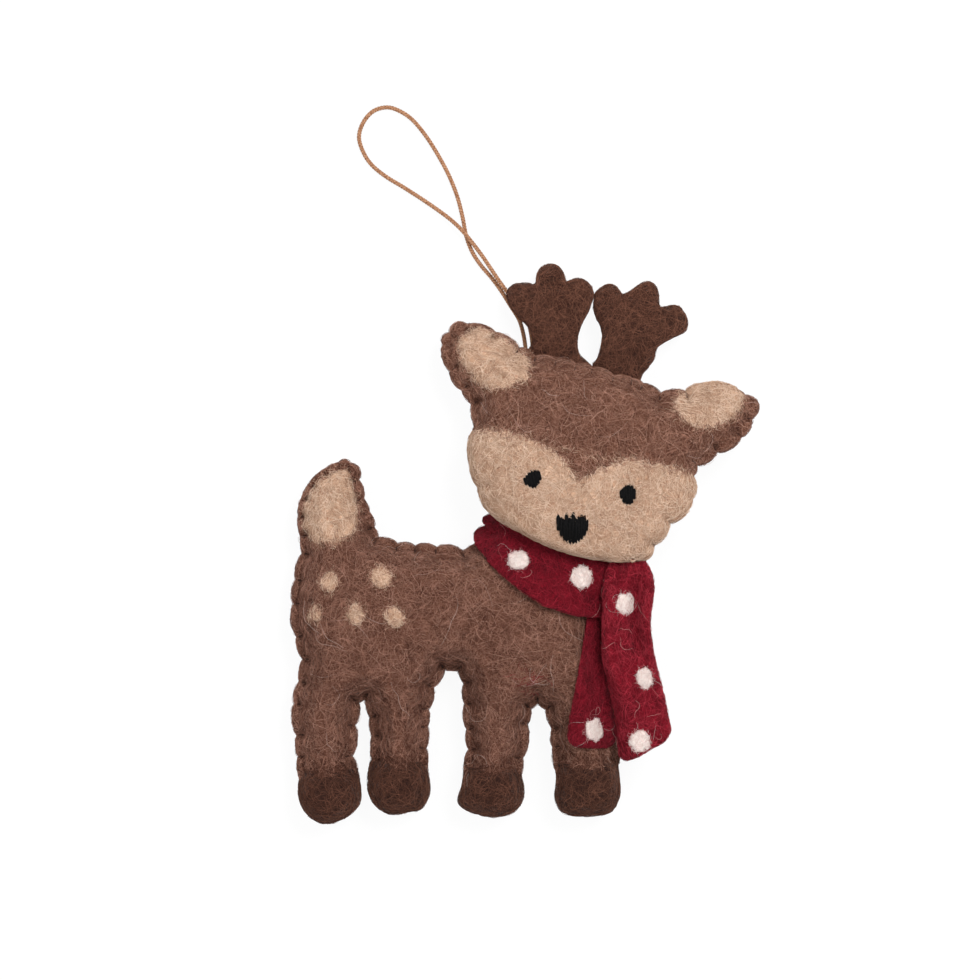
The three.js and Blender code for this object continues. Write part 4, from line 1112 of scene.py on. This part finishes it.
# The band's felt, creased where it turns round the left of the neck
band_out, band_in = np.zeros((2, BAND_ROWS, BAND_COLUMNS, 3))
for row, v in enumerate(band_across):
    half = half_felt(BAND_WIDTH / 2 - abs(v) + BAND_EDGE_LEAST, BAND_EDGE)
    for column, way in enumerate(band_ways):
        middle = band_reach[row, column] + REST_GAP + SCARF_FELT / 2
        u = middle * way[0]
        plan_v = v + band_curve(u) + BAND_SLANT * (BAND_FRONT_Z - BAND_MIDDLE_Z - middle * way[1])
        fold = np.interp(plan_v, PINCH_V, PINCH_OUT) * bell(u, PINCH_U, PINCH_REACH)
        swell = sum(
            share * noise.noise(Vector((u / length, v / width, way[1] * turn)))
            for share, length, width, turn in BAND_WAVES
        )
        middle += swell * BAND_SWELL + BAND_LOOSE + fold
        for grid, reach in ((band_out, middle + half), (band_in, middle - half)):
            grid[row, column] = band_place(reach * way[0], v, BAND_MIDDLE_Z + reach * way[1])
        sunk = max(0.0, TABLE_GAP - band_out[row, column, 2])
        band_out[row, column, 2] += sunk
        band_in[row, column, 2] += sunk
band = slab("red_scarf_band", band_out, band_in, SCARF_LOOK, wrapped=True)
place(band, "scarf_felt", ["scarf_band"])


def scarf_end(name, left, right, top_z, supports, ripple, rows, columns, material):
    """A loose end of the scarf: a strip between two edges, lying on what is under it, and its flat size."""
    run = np.sin(np.linspace(0, math.pi / 2, rows))
    edges = [spline(edge, STRIP_STEP) for edge in (left, right)]
    left_edge, right_edge = (
        np.stack([np.interp(run, np.linspace(0, 1, len(edge)), axis) for axis in edge.T], axis=1)
        for edge in edges
    )
    shares = (1 - np.cos(np.linspace(0, math.pi, columns))) / 2
    across = right_edge - left_edge
    to_end = (1 - run) * run_along(edges[0])[-1]
    corner = END_ROUND - np.sqrt(np.maximum(END_ROUND**2 - np.maximum(END_ROUND - to_end, 0) ** 2, 0))
    inset = (corner / np.linalg.norm(across, axis=1))[:, None]
    left_edge, right_edge = left_edge + across * inset, right_edge - across * inset
    plan = left_edge[:, None] + (right_edge - left_edge)[:, None] * shares[None, :, None]
    flat = plan.reshape(-1, 2)
    height = np.interp(run, np.linspace(0, 1, len(top_z)), top_z)[:, None] + ripple(run[:, None], shares)
    rest = highest(supports, flat, -FAR).reshape(rows, columns) + REST_GAP + SCARF_FELT
    lift = np.maximum(rest - height, 0)
    for _ in range(LIFT_EVENED):
        for axis in (0, 1):
            lift = np.maximum(evened(lift, axis), rest - height)
    height += lift + lumps(flat, STRIP_WAVES, STRIP_SEED).reshape(rows, columns)
    height = np.maximum(height, rest)
    width = np.linalg.norm(right_edge - left_edge, axis=1)[:, None]
    length = run_along(left_edge)[-1]
    to_side, to_tip = np.minimum(shares, 1 - shares)[None] * width, np.minimum(run, 1 - run)[:, None] * length
    to_edge = np.minimum(to_side, to_tip)
    half = half_felt(to_edge, END_EDGE)
    middle = height - SCARF_FELT / 2
    fill = np.clip(height - rest, 0, FOLD_FELT) * (rest > 0) * np.clip(to_edge / FOLD_INSET, 0, 1)
    for _ in range(FOLD_EVENED):
        fill = evened(fill, 1)
    fill = np.minimum(fill, np.maximum(height - rest, 0))
    top, bottom = np.dstack([plan, middle + half]), np.dstack([plan, middle - half - fill])
    flat_size, area = (float(width.max()) * MM, float(length) * MM), float(width.mean() * length) * MM * MM
    return slab(name, top, bottom, material), {"flat": flat_size, "area": area}


def back_ripple(run, across):
    """The left edge stands off the chest, and the right side is tucked down beside the front end."""
    return BACK_STAND * (1 - across) ** 1.5 * smooth_step(*BACK_STAND_FROM, run) - BACK_TUCK * across**2


def front_ripple(run, across):
    """A dent and a crease where the felt folds over, then a ridge on the left and a valley on the right."""
    top = bell(run, *FOLD_TOP)
    dent = DENT * top * bell(across, *DENT_AT)
    crease = CREASE * top * bell(across, *CREASE_AT)
    ridge_at = RIDGE_AT + RIDGE_DRIFT * smooth_step(*RIDGE_DRIFT_RUN, run)
    ridge = RIDGE * bell(across, ridge_at, RIDGE_WIDTH) * smooth_step(*RIDGE_FROM, run)
    ridge = ridge * (1 - RIDGE_FADE * run)
    flank = FLANK * smooth_step(*FLANK_FROM, run) * np.maximum(0.0, 1 - across / ridge_at) ** 2
    valley = smooth_step(*VALLEY_FROM, run) * (1 - smooth_step(*VALLEY_TO, run))
    valley = valley * (VALLEY * bell(across, VALLEY_AT + VALLEY_DRIFT * run, VALLEY_WIDTH))
    rim = bell(across, *FRONT_RIM_AT)
    fall = FALL_RIGHT * across**8 + FALL_LEFT * (1 - across) ** 8
    return ridge + crease + rim - dent - valley - flank - fall


# The back end's right edge follows the left edge of the front end, so that each lifts on its own
back_right = [(front_edge_x(y) - TAIL_GAP, y) for y in BACK_TAIL_Y]
back_end, back_cut = scarf_end(
    "red_scarf_back_end", BACK_TAIL_LEFT, back_right, BACK_TAIL_TOP_Z, [body], back_ripple,
    *BACK_GRID, SCARF_LOOK)
# The front end wears the brighter copy of the scarf's felt, which is painted light.
front_end, front_cut = scarf_end(
    "red_scarf_front_end", FRONT_END_LEFT, FRONT_END_RIGHT, FRONT_END_TOP_Z, [body, band], front_ripple,
    *FRONT_GRID, FRONT_PAINTED_LIGHT_LOOK)
place(front_end, "scarf_felt", ["scarf_fold", "scarf_front_tail"], "front_tail", bends=True)
place(back_end, "scarf_felt", ["scarf_back_tail"], "back_tail", bends=True)


# Head: its seam leans back but clears the scarf, and its back rests on the neck
def leaning(y):
    """Height of the head's seam, before the scarf lifts it."""
    return CHIN_SEAM_Z - HEAD_LEAN * (y - CHIN_Y)


head_plan = Plan(HEAD_EDGE, HEAD_STEP)
head_x, head_y = head_plan.points[:, 0], head_plan.points[:, 1]
head_carrier = highest([body, band, front_end], head_plan.points)
head_support = head_carrier
for times in SUPPORT_EVENED:
    head_support = np.maximum(relaxed(head_support, head_plan.faces, times), head_carrier)
head_seam = smooth_max(leaning(head_y), head_support + SEAM_GAP, SEAM_SOFT)
ear_share = np.hypot((head_x - HEAD_CENTRE[0]) / HEAD_HALF[0], (head_y - HEAD_CENTRE[1]) / HEAD_HALF[1])
head_rise = head_plan.rise(np.interp(ear_share, *EAR_STUFFING))
head_front = head_plan.height(head_rise, HEAD_CROWN)
head_room = head_seam - np.maximum(head_support + REST_GAP, TABLE_GAP)
head_back = smooth_min(head_plan.height(head_rise, HEAD_CROWN_BACK), head_room, HEAD_BACK_SOFT[0])
head_swell, head_swell_back = puffed(head_plan, head_seam, head_front, head_back)
head_front += head_swell + HEAD_LUMPS * lumps(head_plan.points, FELT_WAVES, 2) * head_plan.soft
head_back = smooth_min(head_back + head_swell_back, head_room, HEAD_BACK_SOFT[1])
head = head_plan.skin("stuffed_head", head_seam, head_front, head_back, HEAD_FELT)
place(head, "head_felt", ["head_front_panel", "head_back_panel", "head_filling"])


def antler(side, points, root_y, seed):
    """Thick felt, rounded at its edge, that dips into the head's top seam at its root."""
    outline = turned_left(spline(points, ANTLER_EDGE_STEP, closed=True))
    plan, faces = filled(outline, ANTLER_STEP, WOOL_RINGS)
    swell = np.sqrt(2 * film(plan, faces, len(outline), np.ones(len(plan))))
    half = ANTLER_RIM + ANTLER_FELT * ANTLER_HALF * np.tanh(swell / ANTLER_ROUND)
    drop = ANTLER_DROP + ANTLER_ROOT_DROP * (1 - smooth_step(root_y, root_y + ANTLER_ROOT, plan[:, 1]))
    middle = leaning(plan[:, 1]) - drop
    soft = smooth_step(*ANTLER_SOFT_EDGE, distance(plan, outline))
    front, back = middle + half + ANTLER_LUMPS * lumps(plan, FELT_WAVES, seed) * soft, middle - half
    skin = two_sided(f"felt_antler_{side}", plan, faces, len(outline), front, back, ANTLER_LOOK)
    return place(skin, "antler_felt", [f"{side}_antler"])


antlers = [antler("left", LEFT_ANTLER, LEFT_ROOT_Y, 3), antler("right", RIGHT_ANTLER, RIGHT_ROOT_Y, 5)]


def hoof(leg, points, seed):
    """Wool over the end of a leg, thinning out up the leg."""
    side = spline(points, HOOF_EDGE_STEP)
    outline = turned_left(np.vstack([side, respaced(side[[-1, 0]], HOOF_TOP_POINTS)[1:-1]]))
    plan, faces = filled(outline, HOOF_STEP, WOOL_RINGS)
    centre = plan.mean(axis=0)
    inner = highest([body], centre + (plan - centre) * HOOF_INNER, BODY_SEAM_Z + 1) - BODY_SEAM_Z
    inner = relaxed(inner, faces, HOOF_EVENED)
    rounding = rounded(distance(plan, side, closed=False) / HOOF_EDGE_ROUND, HOOF_EDGE_LEAST)
    border = distance(plan, side[[-1, 0]], closed=False) + lumps(plan, HOOF_WAVES, seed)
    cover = smooth_step(0, HOOF_BLEND, border)
    height = (inner + HOOF_WOOL * cover - WOOL_SINK * (1 - cover)) * rounding
    height += HOOF_LUMPS * lumps(plan, FELT_WAVES, seed + 2) * rounding * cover
    back = np.maximum(BODY_SEAM_Z - height, HOOF_TABLE_GAP)
    skin = two_sided(f"wool_hoof_{leg}", plan, faces, len(outline), BODY_SEAM_Z + height, back, HOOF_LOOK)
    return place(skin, "hoof_wool", [f"{leg}_hoof"])


hooves = [hoof(leg, points, 6 + k) for k, (leg, points) in enumerate(HOOVES.items())]


def wool_patch(name, node, plan, host, outline, seed, lift=WOOL_LIFT):
    """Wool felted onto a panel: a copy of the panel's face, raised inside the patch, sunk at its border."""
    depth = depth_in(plan.points, outline) + lumps(plan.points, PATCH_WAVES, seed)
    kept = plan.faces[(depth[plan.faces] > -WOOL_FEATHER / 2).any(axis=1)]
    used, faces = np.unique(kept, return_inverse=True)
    faces = faces.reshape(-1, 3)
    normals = host.normals()[used]
    raised = -WOOL_SINK + (lift + WOOL_SINK) * smooth_step(-WOOL_FEATHER / 2, WOOL_FEATHER / 2, depth[used])
    outer = host.verts[used] + normals * raised[:, None]
    inner = host.verts[used] - normals * (WOOL_SINK + WOOL_ROOT)
    sides = dict.fromkeys(edge for a, b, c in faces.tolist() for edge in ((a, b), (b, c), (c, a)))
    count = len(used)
    walls = [(b, a, count + a, count + b) for a, b in sides if (b, a) not in sides]
    skin = Skin(name, np.vstack([outer, inner]), [*faces, *(faces[:, ::-1] + count), *walls], CREAM_LOOK)
    return place(skin, "cream_wool", [node])


# The face's top edge has a corner between the eyes, and its patch ends below and beside the chin
face_left = spline(FACE_TOP[: FACE_CORNER + 1], PATCH_EDGE_STEP)
face_right = spline(FACE_TOP[FACE_CORNER:], PATCH_EDGE_STEP)[1:]
face_outline = np.vstack([face_left, face_right, [(x, FACE_FOOT_Y) for x in FACE_FOOT_X]])
face = wool_patch("cream_face", "face_patch", head_plan, head, face_outline, 21, FACE_LIFT)
LININGS = {
    "left_ear": ("left_ear_lining", head_plan, head, LEFT_EAR_LINING, 23),
    "right_ear": ("right_ear_lining", head_plan, head, RIGHT_EAR_LINING, 25),
    "tail": ("tail_lining", body_plan, body, TAIL_LINING, 27),
}
linings = [
    wool_patch(f"cream_{key}", node, plan, host, spline(points, PATCH_EDGE_STEP, closed=True), seed)
    for key, (node, plan, host, points, seed) in LININGS.items()
]


def wool_spot(name, host, outline, material, seed, lift):
    """A small patch felted onto a skin, with an uneven border that sinks into it."""
    outline = turned_left(outline)
    plan, faces = filled(outline, SPOT_STEP)
    border = distance(plan, outline) + lumps(plan, SPOT_BORDER_WAVES, seed)
    surface = relaxed(highest([host], plan), faces, SPOT_EVENED)
    raised = -WOOL_SINK + (lift + WOOL_SINK) * smooth_step(*SPOT_EDGE, border) + lumps(plan, SPOT_WAVES, seed)
    return two_sided(name, plan, faces, len(outline), surface + raised, surface - SPOT_ROOT, material)


def grown(points, amount):
    points = np.asarray(points, float)
    centre = points.mean(axis=0)
    reach = np.linalg.norm(points - centre, axis=1).mean()
    return centre + (points - centre) * (1 + amount / reach)


spots = []
for k, points in enumerate(RUMP_SPOTS):
    outline = spline(grown(points, SPOT_GROWTH), SPOT_EDGE_STEP, closed=True)
    spots.append(wool_spot(f"cream_spot_{k + 1}", body, outline, CREAM_LOOK, 30 + k, SPOT_LIFT))
    place(spots[k], "cream_wool", [f"rump_spot_{k + 1}"])
dot_hosts = {"band": (band, "root"), "fold": (front_end, "root"), "front": (front_end, "front_tail"),
             "back": (back_end, "back_tail")}
dots = {}
for k, (key, (middle, half)) in enumerate(DOTS.items()):
    angles = np.linspace(0, 2 * math.pi, DOT_POINTS, endpoint=False)
    reach = DOT_REACH + DOT_UNEVEN * rng.uniform(-1, 1, len(angles))
    outline = spline(ellipse(middle, half, reach, angles), SPOT_EDGE_STEP, closed=True)
    host, rider = dot_hosts[key.split("_")[0]]
    dots[key] = wool_spot(f"white_{key}", host, outline, DOT_LOOK, 40 + k, DOT_LIFT)
    place(dots[key], "dot_wool", [key], rider)


# Embroidery on the face
def satin(node, threads):
    """Side-by-side threads that enter the wool at both ends."""
    routes = []
    for ends in threads:
        line = respaced(np.array(ends, float), SATIN_POINTS)
        line += rng.normal(0, SATIN_UNEVEN, line.shape)
        arch = np.sin(np.linspace(0, math.pi, SATIN_POINTS)) ** SATIN_ARCH
        height = highest([face, head], line) - SATIN_SINK + arch * SATIN_RISE
        routes.append(spline(np.column_stack([line, height]), SATIN_STEP))
    skin = Skin(f"black_{node}", *tubes(routes, EMBROIDERY_THREAD / 2, SATIN_SIDES), BLACK_THREAD)
    place(skin, "black_thread", [node])


satin("left_eye", LEFT_EYE_THREADS)
satin("right_eye", RIGHT_EYE_THREADS)
satin("nose", NOSE_THREADS)


def whip_stitches(part, plan, skin):
    """Stitches round an edge, from the front pit over the valley to the back pit."""
    routes = []
    for stitch, inward in zip(plan.stitches[plan.sewn], plan.inward[plan.sewn]):
        pit, lip, edge = (stitch + inward * inset for inset in (PIT_INSET, WHIP_LIP, WHIP_EDGE))
        near_pit = pit - inward * WHIP_OUT
        top, under, lip_top, lip_under = skin.top(*pit), skin.under(*pit), skin.top(*lip), skin.under(*lip)
        if None in (top, under, lip_top, lip_under):
            continue
        seam = (lip_top + lip_under) / 2
        routes.append([
            (*pit, top - WHIP_DEEP), (*near_pit, top - WHIP_SUNK), (*lip, lip_top - WHIP_LIP_SUNK),
            (*edge, seam + WHIP_HALF), (*edge, seam - WHIP_HALF), (*lip, lip_under + WHIP_LIP_SUNK),
            (*near_pit, under + WHIP_SUNK), (*pit, under + WHIP_DEEP),
        ])
    sewing(f"brown_{part}_stitches", f"{part}_seam_thread", routes, WHIP_SIDES)


whip_stitches("body", body_plan, body)
whip_stitches("head", head_plan, head)
for node in sorted(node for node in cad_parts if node.startswith("neck_stitch_")):
    low, high = (np.array(corner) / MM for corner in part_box(node))
    middle_y = (low[1] + high[1]) / 2
    route = [(low[0], low[1], high[2]), (low[0], middle_y, low[2]), (high[0], middle_y, low[2]), high]
    sewing(f"brown_{node}", node, [route], THREAD_SIDES)


# Loose fibres that lie over the felt
def fibre_piece(name, slot, routes, thickness, look, **riding):
    """Fibres along routes of equally many points, finer towards their tips."""
    routes[..., 2] = np.maximum(routes[..., 2], thickness)
    along = np.linspace(TIP_TURN, math.pi - TIP_TURN, routes.shape[1])
    taper = thickness / 2 * (TIP_THICK + (1 - TIP_THICK) * np.sin(along))
    mesh = even_tubes(routes, taper[None, :, None, None], FIBRE_SIDES)
    place(Piece(name, *mesh, FIBRE_LOOKS[look]), slot, **riding)


def wandering(skin, starts, lengths, points, hover, curl):
    """Routes that wander along a skin from the given starts."""
    count = len(starts)
    here, heading = starts, rng.normal(size=(count, 3))
    stride = rng.uniform(*lengths, count)[:, None] / (points - 1)
    bend = rng.normal(0, curl, count)
    arch, stray = rng.random(count), rng.random(count) ** 4
    routes = np.empty((count, points, 3))
    for k in range(points):
        found = [skin.tree.find_nearest(p) for p in here.tolist()]
        near, normal = np.array([f[0] for f in found]), np.array([f[1] for f in found])
        run = k / (points - 1)
        lift = hover * (HOVER_LEAST + HOVER_ARCH * math.sin(math.pi * run) * arch + HOVER_STRAY * stray * run)
        routes[:, k] = near + normal * lift[:, None]
        heading = unit(heading - normal * (heading * normal).sum(1)[:, None])
        bend = BEND_KEPT * bend + rng.normal(0, curl * BEND_KEPT, count)
        heading = unit(heading + np.cross(normal, heading) * bend[:, None])
        here = near + heading * stride
    return routes


def spread(skin, count):
    """Random places on a skin, fewer on its underside."""
    corners = skin.verts[np.array([face[:3] for face in skin.faces])]
    normals = np.cross(corners[:, 1] - corners[:, 0], corners[:, 2] - corners[:, 0])
    areas = np.linalg.norm(normals, axis=1)
    areas = areas * np.where(normals[:, 2] > UNDERSIDE * areas, 1.0, UNDERSIDE_SHARE)
    picks = corners[rng.choice(len(corners), count, p=areas / areas.sum())]
    a, b = rng.random((2, count, 1))
    a, b = np.where(a + b > 1, 1 - a, a), np.where(a + b > 1, 1 - b, b)
    return picks[:, 0] + a * (picks[:, 1] - picks[:, 0]) + b * (picks[:, 2] - picks[:, 0])


def fuzz(name, slot, skin, count, lengths, thickness, look, points=FIBRE_POINTS, hover=0.14, curl=0.2,
         **riding):
    """Fibres all over a skin: how many, how long, how thick, of which look, and how they hover and curl."""
    routes = wandering(skin, spread(skin, count), lengths, points, hover, curl)
    fibre_piece(name, slot, routes, thickness, look, **riding)


def fringe(name, slot, skin, outline, count, lengths, thickness, look, jitter=0.5, hover=0.14, curl=0.18,
           **riding):
    """Fibres that cross the border of a patch, from starts along its outline, on the skin that carries it."""
    line = respaced(np.vstack([outline, outline[:1]]), count) + rng.normal(0, jitter, (count, 2))
    tops = [skin.top(x, y) for x, y in line]
    starts = np.array([(x, y, z) for (x, y), z in zip(line, tops) if z is not None])
    routes = wandering(skin, starts, lengths, FIBRE_POINTS, hover, curl)
    fibre_piece(name, slot, routes, thickness, look, **riding)


# Fibres on the brown felt, with a few longer, paler hairs
for part, skin, kinds in (
    ("body", body, (
        ("fibres_dark", 5000, (2.6, 6.5), 0.12, "body_fibre_dark"),
        ("fibres_mid", 5200, (2.6, 6.5), 0.11, "body_fibre"),
        ("fibres_fine", 5200, (2.8, 7.0), 0.09, "body_fibre", FIBRE_POINTS, 0.14, 0.28),
        ("fibres_light", 4400, (2.8, 7.0), 0.08, "body_fibre_light", FIBRE_POINTS, 0.14, 0.3),
        ("hairs", 60, (6.0, 13.0), 0.065, "pale_hair", HAIR_POINTS, 0.3),
    )),
    ("head", head, (
        ("fibres_dark", 2800, (2.4, 6.0), 0.11, "head_fibre_dark"),
        ("fibres_mid", 5000, (2.8, 7.0), 0.09, "head_fibre", FIBRE_POINTS, 0.14, 0.28),
        ("fibres_light", 2400, (2.8, 7.0), 0.08, "head_fibre_light", FIBRE_POINTS, 0.14, 0.3),
        ("hairs", 40, (5.0, 11.0), 0.065, "pale_hair", HAIR_POINTS, 0.3),
    )),
):
    for kind, *values in kinds:
        fuzz(f"{part}_{kind}", f"{part}_felt", skin, *values)

# Fibres on the cream wool and across its borders
for skin, count in zip([face, *linings, *spots], [5000, 900, 900, 1000] + [90] * len(spots)):
    for kind, share, thickness, look in (
        ("dark_fibres", CREAM_DARK_SHARE, 0.08, "cream_fibre_dark"), ("fibres", 1.0, 0.095, "cream_fibre"),
    ):
        fuzz(f"{skin.name}_{kind}", "cream_wool", skin, round(count * share), (2.4, 6.0), thickness, look,
             hover=0.15, curl=0.3)
spot_outlines = [spline(points, FRINGE_STEP, closed=True) for points in RUMP_SPOTS]
face_edge = spline(FACE_TOP, FRINGE_STEP)[FACE_EDGE_SKIPPED:-FACE_EDGE_SKIPPED]
chin_edge = spline(CHIN_EDGE, FRINGE_STEP)
fringe("face_fringe", "cream_wool", head, face_edge, 420, (0.8, 2.2), 0.1, "cream_fringe")
fringe("chin_fringe", "cream_wool", head, chin_edge, 220, (1.0, 3.2), 0.07, "cream_fibre",
       hover=0.22, curl=0.35)
for key, (_, _, host, points, _) in LININGS.items():
    outline = spline(points, FRINGE_STEP, closed=True)
    fringe(f"{key}_fringe", "cream_wool", host, outline, 300, (0.8, 2.0), 0.1, "cream_fringe")
for k, line in enumerate(spot_outlines):
    fringe(f"spot_fringe_{k + 1}", "cream_wool", body, line, 70, (0.6, 1.5), 0.1, "cream_fringe", 0.3)
fringe("face_brown_fringe", "head_felt", face, face_edge, 330, (0.9, 2.2), 0.11, "head_fibre")
for k, line in enumerate(spot_outlines):
    fringe(f"spot_brown_fringe_{k + 1}", "head_felt", spots[k], line, 90, (0.8, 2.2), 0.09, "body_fibre")

# Fibres on the antlers, the hooves and the legs above them
for skin in antlers:
    fuzz(f"{skin.name}_fibres", "antler_felt", skin, 2200, (2.5, 6.5), 0.085, "antler_fibre",
         hover=0.09, curl=0.28)
for skin in hooves:
    fuzz(f"{skin.name}_fibres", "hoof_wool", skin, 1000, (2.5, 6.0), 0.085, "hoof_fibre", hover=0.1, curl=0.3)
for leg, points in HOOVES.items():
    line = respaced(np.array([points[-1], points[0]]), HOOF_FRINGE_POINTS)
    fringe(f"{leg}_hoof_fringe", "hoof_wool", body, line, 240, (1.2, 3.6), 0.12, "hoof_edge_fibre", 0.9)

# Fibres on the scarf, its dots and the chest under it
for key, skin, fibres, hairs, look, riding in (
    ("band", band, 3000, 16, "red_fibre", {}),
    # The front end's fibres take the brighter red: painted light, as on its felt.
    ("front", front_end, 2400, 14, "red_fibre_bright", {"rider": "front_tail", "bends": True}),
    ("back", back_end, 1100, 8, "red_fibre", {"rider": "back_tail", "bends": True}),
):
    fuzz(f"scarf_{key}_fibres", "scarf_felt", skin, fibres, (1.8, 4.6), 0.08, look,
         FIBRE_POINTS, 0.09, 0.3, **riding)
    fuzz(f"scarf_{key}_hairs", "scarf_felt", skin, hairs, (3.0, 7.0), 0.055, "scarf_hair",
         HAIR_POINTS, 0.22, 0.3, **riding)
for key, skin in dots.items():
    ring = ellipse(*DOTS[key], DOT_FRINGE_REACH, np.linspace(0, 2 * math.pi, DOT_FRINGE_POINTS))
    host, rider = dot_hosts[key.split("_")[0]]
    fuzz(f"{skin.name}_fibres", "dot_wool", skin, 240, (0.9, 2.4), 0.1, "white_fibre", hover=0.1, rider=rider)
    for kind, carrier, *values in (
        ("fringe", host, 60, (0.5, 1.3), 0.04, "dot_edge_fibre", 0.12, 0.1, 0.3),
        ("hairs", host, 4, (2.5, 5.5), 0.04, "white_fibre", 0.3, 0.14, 0.5),
        ("red_fibres", skin, 34, (0.5, 1.6), 0.035, "red_fibre_bright", 0.25, 0.07, 0.4),
    ):
        fringe(f"{skin.name}_{kind}", "dot_wool", carrier, ring, *values, rider=rider)
wisps_at = np.array([CHEST_RED]) + rng.normal(0, CHEST_RED_SPREAD, (CHEST_RED_COUNT, 2))
wisps_at = np.array([(x, y, body.top(x, y)) for x, y in wisps_at])
wisps = wandering(body, wisps_at, (1.5, 4.0), FIBRE_POINTS, 0.16, 0.3)
fibre_piece("red_wisps", "scarf_felt", wisps, 0.1, "red_fibre")

# Floor: a matt white sheet that shows bright to the camera and still takes shadows
FLOOR_SIZE, FLOOR_Z = 4.0, -0.06
FLOOR_GREY, FLOOR_GLOW = 0.9, 0.93
floor_mesh = bpy.data.meshes.new("studio_floor")
corners = ((-1, -1), (1, -1), (1, 1), (-1, 1))
floor_verts = [(x * FLOOR_SIZE / 2, y * FLOOR_SIZE / 2, FLOOR_Z * MM) for x, y in corners]
floor_mesh.from_pydata(floor_verts, [], [(0, 1, 2, 3)])
floor = linked(bpy.data.objects.new("studio_floor", floor_mesh))
floor_look = Shader("studio_floor_look")
floor_look.set(Roughness=1.0, Base_Color=(FLOOR_GREY, FLOOR_GREY, FLOOR_GREY, 1), Specular_IOR_Level=0.0)
rays = floor_look.add("ShaderNodeLightPath").outputs
seen = floor_look.math("MAXIMUM", rays["Is Camera Ray"], rays["Is Glossy Ray"])
seen = floor_look.math("MAXIMUM", seen, rays["Is Transmission Ray"])
glow = floor_look.add("ShaderNodeEmission", {"Color": (1, 1, 1, 1), "Strength": 1.0}).outputs[0]
shares = {0: floor_look.math("MULTIPLY", seen, FLOOR_GLOW), 1: floor_look.surface.outputs[0], 2: glow}
floor_mix = floor_look.add("ShaderNodeMixShader", shares)
floor_look.join(floor_mix.outputs[0], floor_look.tree.nodes["Material Output"].inputs["Surface"])
floor_mesh.materials.append(floor_look.material)

# World: white to the camera, dimmer as light
WORLD_LIGHT = 0.68
world = bpy.data.worlds.new("studio")
bpy.context.scene.world = world
world.use_nodes = True
world_nodes, world_links = world.node_tree.nodes, world.node_tree.links
sky = world_nodes["Background"]
sky.inputs["Color"].default_value = (1, 1, 1, 1)
sky_path, sky_range = world_nodes.new("ShaderNodeLightPath"), world_nodes.new("ShaderNodeMapRange")
sky_range.inputs["To Min"].default_value = WORLD_LIGHT
sky_range.inputs["To Max"].default_value = 1.0
world_links.new(sky_path.outputs["Is Camera Ray"], sky_range.inputs["Value"])
world_links.new(sky_range.outputs["Result"], sky.inputs["Strength"])

# Lights: name, place in metres, power and size
LIGHTS = [("key_light", (0.35, 0.38, 0.9), 9.6, 0.4), ("fill_light", (-0.45, -0.05, 0.85), 3.0, 0.6)]
for name, spot, power, size in LIGHTS:
    data = bpy.data.lights.new(name, "AREA")
    data.energy, data.size = power, size
    light = linked(bpy.data.objects.new(name, data))
    light.location = spot
    light.rotation_euler = (-Vector(spot)).to_track_quat("-Z", "Y").to_euler()

bpy.context.scene.view_settings.view_transform = "Standard"

bpy.context.view_layer.update()
